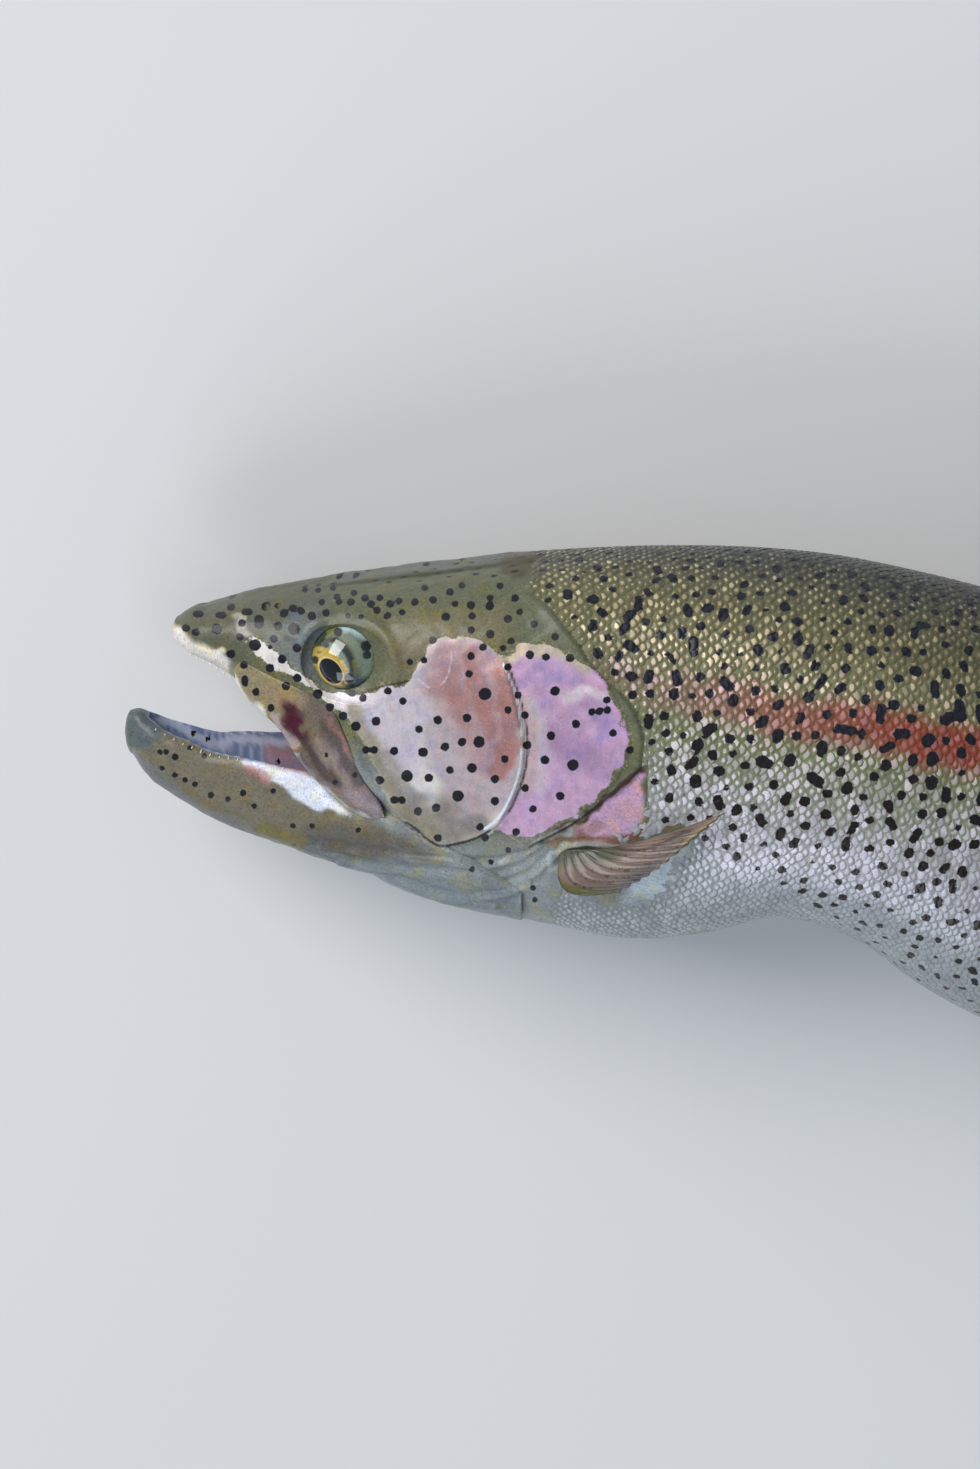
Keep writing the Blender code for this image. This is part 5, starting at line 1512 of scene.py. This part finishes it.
# Fins along the back and the belly: name, margin, where the root starts and how long it is, the column
# of BODY that it stands on, rays, half thicknesses, steps, bow, colour, marks and pale rim. The marks
# are a seed, how far they stay apart and their radius
BACK, BELLY_LINE = 1, 2
EVEN_FINS = (
    ("dorsal", DORSAL_MARGIN, 213.0, 58.0, BACK, 12, (1.7, 0.62, 0.24), 46, (-2.0, 0.0, 1.5),
     FIN_OLIVE, (41, 4.6, 1.25), 0.5),
    ("anal", ANAL_MARGIN, 330.0, 44.0, BELLY_LINE, 11, (1.6, 0.6, 0.24), 46, (-1.5, 0.0, -1.0),
     FIN_ROSE, None, 0.9),
    ("adipose", ADIPOSE_MARGIN, 358.0, 9.0, BACK, 5, (2.0, 1.05, 1.0), 26, (0.0, 0.0, 0.0),
     FIN_OLIVE, (42, 4.5, 1.2), 0.0),
)
FIN_SINK = 1.2
UPRIGHT = np.array((0.0, 1.0, 0.0))
# Tail fin: rays, half height of its root, how far its tips spread and how deep it is forked
TAIL_RAYS = 19
TAIL_ROOT = 22.6
TAIL_SPREAD = 55.0
TAIL_FORK = 17.0


def median_fins():
    """Dorsal, adipose, anal and tail fins, in the fish's middle plane."""
    made = []
    for name, edge, start, length, line, rays, halves, steps, bow, colour, marks, rim in EVEN_FINS:
        s = start + length * np.linspace(0, 1, rays)
        sink = FIN_SINK if line == BELLY_LINE else -FIN_SINK
        bases = np.column_stack([s, 0 * s, smooth(BODY, line, s) + sink])
        normals = np.tile(UPRIGHT, (rays, 1))
        blade = fin(f"{name}_skin", bases, edge_points(edge, rays), normals, halves, steps=steps, bow=bow)
        paint_fin(blade, colour, fin_spots(straight(blade), *marks) if marks else None, rim)
        made.append((blade, f"{name}_fin"))

    share = np.linspace(-1, 1, TAIL_RAYS)
    bases = np.column_stack([np.full(TAIL_RAYS, TRUNK_END - 2.0), 0 * share, TAIL_ROOT * share])
    spread = np.sign(share) * np.abs(share) ** 0.9
    reach = TAIL_TIP - TAIL_FORK + TAIL_FORK * np.abs(share) ** 1.5
    tips = np.column_stack([reach, 0 * share, TAIL_SPREAD * spread])
    normals = np.tile(UPRIGHT, (TAIL_RAYS, 1))
    tail = fin("tail_skin", bases, tips, normals, (4.9, 0.6, 0.24), steps=56, reach=0.16)
    paint_fin(tail, FIN_OLIVE, fin_spots(straight(tail), 43, 5.4, 1.35), 0.0)
    made.append((tail, "tail_fin"))
    return made


def paired_fins():
    """Pectoral and pelvic fins, each from a short fleshy root."""
    straight_rays, curved = (0.0, 0.0, 0.0), (-6.2, 0.0, -5.6)
    kinds = (
        ("pectoral", "left", 1, PECTORAL_BASE_LEFT, PECTORAL_LEFT, 12, curved),
        ("pectoral", "right", -1, PECTORAL_BASE_RIGHT, PECTORAL_RIGHT, 12, straight_rays),
        ("pelvic", "left", 1, PELVIC_BASE, PELVIC_LEFT, 9, straight_rays),
        ("pelvic", "right", -1, PELVIC_BASE, PELVIC_RIGHT, 9, straight_rays),
    )
    made = []
    for kind, word, side, base, edge, rays, last_bow in kinds:
        ends = [(s, side * (float(side_reach(BODY, s, v)) + FIN_STAND_OFF), v) for s, v in base]
        bases = np.linspace(ends[0], ends[1], rays)
        tips = edge_points([(s, side * l, v) for s, l, v in edge], rays)
        along = (tips + bases) / 2 - bases.mean(axis=0)
        across = bases[-1] - bases[0] + (tips[-1] - tips[0]) * 0.5
        normals = np.cross(along, across)
        if last_bow == curved:
            normals = np.tile((-0.2, side, 0.0), (rays, 1))
        normals /= np.linalg.norm(normals, axis=1)[:, None]
        normals *= np.sign((normals[:, 1] * side).sum())
        sunk = bases - (0.6, side * 2.6, 0)
        bow = np.linspace(0, 1, rays)[:, None] ** 2 * last_bow + (0.0, side * 1.2, 0.0)
        blade = fin(f"{kind}_skin_{word}", sunk, tips, normals, (1.5, 0.44, 0.27), steps=60, bow=bow, fine=10)
        paint_fin(blade, FIN_PINK if kind == "pectoral" else FIN_PALE, None, 0.3, last_bow == curved)
        made.append((blade, f"{kind}_fin_{word}"))
    return made


class Wire:
    """A shader socket on which sums can be written."""

    def __init__(self, tree, socket):
        self.tree, self.socket = tree, socket

    def node(self, kind, settings=None, values=None, output=0):
        """A new node in the same tree, with its settings first and then its sockets' values or links."""
        made = self.tree.nodes.new(kind)
        for key, value in (settings or {}).items():
            setattr(made, key, value)
        for key, value in (values or {}).items():
            self.plug(made.inputs[key], value)
        return Wire(self.tree, made.outputs[output])

    def plug(self, target, value):
        """Links a wire to a socket, or sets a plain value on it."""
        if isinstance(value, Wire):
            self.tree.links.new(value.socket, target)
        elif isinstance(value, tuple) and len(value) == 3 and target.type == "RGBA":
            target.default_value = (*value, 1.0)
        else:
            target.default_value = value

    def maths(self, operation, first, second=0.0):
        """A Math node."""
        return self.node("ShaderNodeMath", {"operation": operation}, {0: first, 1: second})

    def __add__(self, other):
        return self.maths("ADD", self, other)

    __radd__ = __add__

    def __mul__(self, other):
        return self.maths("MULTIPLY", self, other)

    __rmul__ = __mul__

    def __sub__(self, other):
        return self.maths("SUBTRACT", self, other)

    def __rsub__(self, other):
        return self.maths("SUBTRACT", other, self)

    def __pow__(self, other):
        return self.maths("POWER", self, other)

    def ease(self, low, high, start=0.0, end=1.0):
        """A smooth step from start to end as the value goes from low to high."""
        values = {"Value": self, "From Min": low, "From Max": high, "To Min": start, "To Max": end}
        return self.node("ShaderNodeMapRange", {"interpolation_type": "SMOOTHSTEP"}, values)

    def mixed(self, other, amount):
        """This colour turned into another by amount."""
        return self.node("ShaderNodeMix", {"data_type": "RGBA"}, {0: amount, 6: self, 7: other}, 2)

    def times(self, other):
        """This colour made darker or lighter by a value or a colour."""
        settings = {"data_type": "RGBA", "blend_type": "MULTIPLY"}
        if isinstance(other, float):
            other = (other, other, other)
        elif isinstance(other, Wire) and other.socket.type == "VALUE":
            other = other.node("ShaderNodeCombineColor", {}, {0: other, 1: other, 2: other})
        return self.node("ShaderNodeMix", settings, {0: 1.0, 6: self, 7: other}, 2)


def finish(name, roughness, coat, coat_roughness=0.08, subsurface=0.0, gloss=0.2):
    """A new material: its tree as a wire to build from, and its shader."""
    material = bpy.data.materials.new(name)
    material.use_nodes = True
    tree = material.node_tree
    shader = tree.nodes["Principled BSDF"]
    shader.inputs["Roughness"].default_value = roughness
    shader.inputs["Specular IOR Level"].default_value = gloss
    shader.inputs["Coat Weight"].default_value = coat
    shader.inputs["Coat Roughness"].default_value = coat_roughness
    if subsurface:
        shader.inputs["Subsurface Weight"].default_value = subsurface
        shader.inputs["Subsurface Radius"].default_value = (1.0, 0.45, 0.3)
        shader.inputs["Subsurface Scale"].default_value = 0.003
    coordinates = tree.nodes.new("ShaderNodeTexCoord")
    return material, shader, Wire(tree, coordinates.outputs["Object"])


def stored(place, name, colour=False):
    """A value or a colour kept on the piece's points."""
    return place.node("ShaderNodeAttribute", {"attribute_name": name}, {}, 0 if colour else 2)


def noise(place, size, detail=3.0, roughness=0.55):
    """A noise of 0 to 1 with features about size metres across."""
    values = {"Vector": place, "Scale": 1 / size, "Detail": detail, "Roughness": roughness}
    return place.node("ShaderNodeTexNoise", {}, values)


def cells(place, size):
    """Distance to the nearest of scattered points, about 0 to 1 over cells of size metres."""
    return place.node("ShaderNodeTexVoronoi", {}, {"Vector": place, "Scale": 1 / size})


def blend(amount, first, second):
    """The first colour turned into the second by amount."""
    return amount.node("ShaderNodeMix", {"data_type": "RGBA"}, {0: amount, 6: first, 7: second}, 2)


def bump(shader, height, depth, strength=1.0):
    """Feeds a height in metres to the shader's normal."""
    values = {"Height": height, "Distance": depth, "Strength": strength}
    height.plug(shader.inputs["Normal"], height.node("ShaderNodeBump", {}, values))


def skin_finish():
    """Wet scaleless skin of the head: painted tones, fine mottling, round marks and thin lines.

    The dark lines are painted shade along creases and gill slits.
    """
    material, shader, place = finish("wet_skin", 0.36, 0.14, 0.16, 0.05)
    clouds = noise(place, 0.0040)
    grain = noise(place, 0.0008, 4.0, 0.65)
    fine = noise(place, 0.00035, 2.0, 0.6)
    ragged = (noise(place, 0.0022, 4.0, 0.7) - 0.5) * 3.0
    plate = (stored(place, "plate") + ragged).ease(-0.18, 0.18)
    gold = (stored(place, "plate") + ragged + 1.0).ease(-0.5, 0.5) * grain.ease(0.52, 0.60)
    patches = noise(place, 0.0060, 3.0, 0.6)
    skin = stored(place, "tone", colour=True)
    skin = skin.times(clouds * 0.6 + grain * 1.1 + 0.15)
    skin = skin.mixed(skin.times((1.25, 1.05, 0.55)), patches.ease(0.48, 0.66) * 0.6)
    dust = cells(place, 0.0007).ease(0.16, 0.34, 1.0, 0.0) * clouds.ease(0.30, 0.55)
    skin = skin.mixed(skin.times(0.3), dust * 0.6)
    skin = skin.mixed(skin.times(1.9), fine.ease(0.60, 0.72) * 0.35)
    skin = skin.mixed((0.42, 0.34, 0.13), gold * 0.45)
    pale = stored(place, "plate_tone", colour=True)
    drawn_out = place.node("ShaderNodeMapping", {}, {"Vector": place, "Scale": (1.0, 0.35, 1.0)})
    streaks = noise(drawn_out, 0.0016, 4.0, 0.65)
    pale = pale.times(streaks * 0.7 + clouds * 0.5 + grain * 0.35 + 0.18)
    pale = pale.mixed(pale.times((1.02, 0.70, 0.58)), streaks.ease(0.52, 0.72) * 0.6)
    pale = pale.mixed(pale.times((0.74, 0.84, 1.12)), patches.ease(0.50, 0.66) * 0.6)
    pale = pale.mixed((0.74, 0.70, 0.70), fine.ease(0.58, 0.74) * 0.35)
    pits = cells(place, 0.0009).ease(0.10, 0.24, 1.0, 0.0) * streaks.ease(0.45, 0.6)
    pale = pale.mixed(pale.times(0.45), pits * 0.7)
    colour = skin.mixed(pale, plate)
    lining = stored(place, "lining_tone", colour=True).times(grain * 0.5 + 0.75)
    colour = colour.mixed(lining, stored(place, "lining"))
    canal = stored(place, "canal") + (grain - 0.5) * 0.4
    colour = colour.mixed((0.62, 0.62, 0.70), canal.ease(0.10, 0.42, 1.0, 0.0) * 0.5)
    # Painted shade along the creases and gill slits, which also sink the bump
    shaded_crease = stored(place, "shaded_crease") + (grain - 0.5) * 0.5
    colour = colour.mixed((0.035, 0.022, 0.016), shaded_crease.ease(0.10, 0.55, 1.0, 0.0) * 0.9)
    white = stored(place, "pale") + (grain - 0.5) * 0.5
    colour = colour.mixed((0.64, 0.72, 0.82), white.ease(0.24, 0.50, 1.0, 0.0) * 0.95)
    warp = (noise(place, 0.0014, 2.0) - 0.5) * 0.6
    spot = (stored(place, "spot") + warp).ease(-0.14, 0.12, 1.0, 0.0)
    colour = colour.mixed((0.010, 0.010, 0.015), spot)
    place.plug(shader.inputs["Base Color"], colour)
    place.plug(shader.inputs["Metallic"], plate * (streaks * 0.30))
    place.plug(shader.inputs["Roughness"], clouds * 0.14 + grain * 0.10 + 0.26)
    bump(shader, fine * 0.35 + grain * 0.5 + clouds * 0.3 - shaded_crease.ease(0.0, 0.9, 0.8, 0.0), 0.00016, 0.8)
    return material


def scale_finish():
    """Wet scales: pearly middles of uneven size in a net of darker skin, and dark marks over them.

    The bright middles are partly painted reflection.
    """
    material, shader, place = finish("wet_scales", 0.34, 0.25, 0.12)
    skin = stored(place, "tone", colour=True)
    middle = stored(place, "pearl_and_glint", colour=True)
    fill = stored(place, "fill")
    low = stored(place, "low")
    grain = noise(place, 0.0005, 3.0, 0.6)
    clouds = noise(place, 0.006, 3.0)
    fine = noise(place, 0.00022, 2.0, 0.6)
    across = stored(place, "over") * 1.7
    along = (stored(place, "share") - 0.71) * 6.4
    rim = (across * across + along * along) ** 0.5 + (grain - 0.5) * 1.1
    bright = (rim - fill * 1.05).ease(-0.28, 0.16, 1.0, 0.0)
    colour = skin.times(clouds * 0.5 + grain * 0.4 + 0.55)
    pearly_glint = middle.times(fine * 0.5 + clouds * 0.4 + 0.55)
    colour = colour.mixed(pearly_glint, bright * clouds.ease(0.36, 0.60, 0.55, 1.0))
    colour = colour.mixed(colour.times(fine * 1.3 + grain * 0.5 + 0.1), low)
    warp = (noise(place, 0.0014, 2.0) - 0.5) * 1.0
    spot = (stored(place, "spot") + warp).ease(-0.16, 0.10, 1.0, 0.0)
    ink = blend(low, (0.010, 0.011, 0.019), (0.010, 0.006, 0.004))
    colour = colour.mixed(ink, spot)
    place.plug(shader.inputs["Base Color"], colour)
    place.plug(shader.inputs["Metallic"], (1 - spot) * bright * 0.22)
    place.plug(shader.inputs["Roughness"], grain * 0.2 + 0.26)
    bump(shader, grain * 0.6 + fine * 0.4, 0.00010, 0.6)
    return material


def fin_finish():
    """Fin rays with cross joints over a thinner web."""
    material, shader, place = finish("wet_fin", 0.38, 0.30, 0.12, 0.12)
    tone = stored(place, "tone", colour=True)
    ridge = stored(place, "ridge")
    along = stored(place, "along")
    grain = noise(place, 0.0012, 4.0)
    beat = along * 95.0 + grain * 0.8
    joints = beat.maths("FRACT", beat).ease(0.0, 0.35, 1.0, 0.0)
    colour = tone.times(grain * 0.6 + 0.55).mixed(tone.times(0.38), (ridge.ease(0.35, 0.9)) * 0.5)
    colour = colour.mixed(tone.times(1.5), joints * ridge.ease(0.4, 0.9) * along.ease(0.25, 0.5) * 0.4)
    warp = (noise(place, 0.002) - 0.5) * 0.9
    spot = (stored(place, "spot") + warp).ease(-0.3, 0.3, 1.0, 0.0)
    colour = colour.mixed((0.02, 0.02, 0.02), spot * 0.92)
    place.plug(shader.inputs["Roughness"], grain * 0.2 + 0.28)
    flecks = noise(place, 0.0012, 2.0).ease(0.56, 0.62) * ridge.ease(0.2, 0.6)
    colour = colour.mixed(tone.times(0.16), flecks * 0.75)
    place.plug(shader.inputs["Base Color"], colour)
    bump(shader, ridge * 0.5 + grain * 0.3 - joints * ridge * 0.3, 0.00022, 0.6)
    return material


def eye_finish():
    """The eye: a black pupil with a gold rim, a mottled iris and a wet dome.

    The dome's pale top is a painted reflection of the sky.
    """
    material, shader, place = finish("wet_eye", 0.14, 1.0, 0.02)
    pupil = stored(place, "pupil")
    grain = noise(place, 0.0007, 4.0, 0.65)
    colour = stored(place, "tone", colour=True).times(grain * 1.1 + 0.5)
    spot = (stored(place, "spot") + (grain - 0.5) * 0.5).ease(-0.25, 0.2, 1.0, 0.0)
    colour = colour.mixed((0.012, 0.014, 0.022), spot * 0.93)
    off = pupil - 1.06
    rim = off.maths("ABSOLUTE", off).ease(0.02, 0.10, 1.0, 0.0)
    colour = colour.mixed((0.62, 0.48, 0.20), rim * 0.8)
    colour = colour.mixed((0.002, 0.005, 0.010), pupil.ease(0.96, 1.02, 1.0, 0.0))
    place.plug(shader.inputs["Base Color"], colour)
    return material


def tongue_finish():
    """Moist pale flesh."""
    material, shader, place = finish("tongue", 0.32, 0.6, 0.1, 0.25)
    grain = noise(place, 0.0012, 4.0)
    wide = noise(place, 0.006, 2.0)
    colour = blend(wide, (0.60, 0.38, 0.42), (0.66, 0.62, 0.70))
    place.plug(shader.inputs["Base Color"], colour.times(grain * 0.4 + 0.75))
    bump(shader, grain, 0.0003, 0.6)
    return material


def tooth_finish():
    """Small ivory teeth."""
    material, shader, place = finish("tooth", 0.25, 0.3)
    grain = noise(place, 0.0006, 3.0)
    colour = blend(grain, (0.70, 0.66, 0.54), (0.86, 0.84, 0.76))
    place.plug(shader.inputs["Base Color"], colour)
    return material


# Floor, sky and lights. A light's name, place, aim, size, power and colour
FLOOR_SIZE = 40.0
FLOOR_COLOUR = (0.69, 0.70, 0.71, 1.0)
SKY_COLOUR = (0.80, 0.88, 1.0, 1.0)
SKY_STRENGTH = 0.34
LIGHTS = (
    ("key", (-2.0, 2.0, 1.75), (-0.05, 0.0, 0.0), 2.0, 110.0, (1.0, 0.98, 0.95)),
    ("fill", (-0.8, -2.6, 1.9), (-0.1, 0.0, 0.0), 2.0, 38.0, (0.90, 0.95, 1.0)),
)


def floor_finish():
    """A plain pale floor."""
    material, shader, _ = finish("pale_floor", 0.75, 0.0)
    shader.inputs["Base Color"].default_value = FLOOR_COLOUR
    return material


def dress(piece, material):
    """Gives a piece its only finish."""
    piece.data.materials.clear()
    piece.data.materials.append(material)


COAT_PIECES = 5
COAT_SEED = 50
SPOT_SEEDS = ((1, 5), (-1, 6))


def build_fish():
    """All the fish's pieces, finished and laid down."""
    skin, scaly, fins = skin_finish(), scale_finish(), fin_finish()
    spots = np.vstack([body_spots(side, seed) for side, seed in SPOT_SEEDS])
    head = skin_of_head(spots)
    dress(head, skin)
    plates = ("cheek_left", "cheek_right", "gill_cover_left", "gill_cover_right")
    lay(head, "head_skin", "head", "lower_jaw", "throat", *plates)
    trunk = skin_of_trunk(spots)
    dress(trunk, skin)
    lay(trunk, "flank_skin", "shoulder", "trunk", "loin", "tail_stalk")
    for side, word in ((1, "left"), (-1, "right")):
        blade = maxilla(side, word)
        dress(blade, skin)
        lay(blade, "jaw_skin", f"maxilla_{word}")
        eye = eyeball(side, word)
        dress(eye, eye_finish())
        lay(eye, "eye", f"eye_{word}")
    flesh = tongue()
    dress(flesh, tongue_finish())
    lay(flesh, "mouth_lining", "tongue")
    small = teeth()
    dress(small, tooth_finish())
    lay(small, "jaw_skin")
    for piece, node in median_fins() + paired_fins():
        dress(piece, fins)
        lay(piece, "fin_skin", node)
    rows = scale_rows()
    order = np.argsort(rows[:, 0], kind="stable")
    for index, part in enumerate(np.array_split(order, COAT_PIECES)):
        coat = scales(f"scales_{index + 1}", rows[part], spots, COAT_SEED + index)
        dress(coat, scaly)
        lay(coat, "flank_skin")


def set_stage():
    """Floor, soft lights and the camera at the photograph's angle."""
    deselect()
    bpy.ops.mesh.primitive_plane_add(size=FLOOR_SIZE)
    floor = bpy.context.active_object
    floor.name = "floor"
    dress(floor, floor_finish())
    world = bpy.data.worlds.new("sky")
    world.use_nodes = True
    world.node_tree.nodes["Background"].inputs["Color"].default_value = SKY_COLOUR
    world.node_tree.nodes["Background"].inputs["Strength"].default_value = SKY_STRENGTH
    bpy.context.scene.world = world
    for name, place, target, size, power, colour in LIGHTS:
        light = bpy.data.lights.new(name, "AREA")
        light.size, light.energy, light.color = size, power, colour
        lamp = bpy.data.objects.new(name, light)
        bpy.context.scene.collection.objects.link(lamp)
        away = np.array(place) - np.array(target)
        lamp.matrix_world = facing(away / np.linalg.norm(away), place)
    bpy.context.scene.view_settings.view_transform = "Standard"
    camera = bpy.data.cameras.new("camera")
    camera.lens, camera.sensor_width = LENS, SENSOR
    holder = bpy.data.objects.new("camera", camera)
    bpy.context.scene.collection.objects.link(holder)
    turn = np.column_stack([RIGHT, UP, TOWARD, CAMERA_PLACE])
    holder.matrix_world = Matrix([*turn.tolist(), (0, 0, 0, 1)])
    bpy.context.scene.camera = holder


def facing(away, place):
    """A matrix whose Z axis points away from what is lit or seen."""
    right = np.cross((0.0, 1.0, 0.0), away)
    right /= np.linalg.norm(right)
    up = np.cross(away, right)
    return Matrix([*np.column_stack([right, up, away, place]).tolist(), (0, 0, 0, 1)])


build_fish()
set_stage()
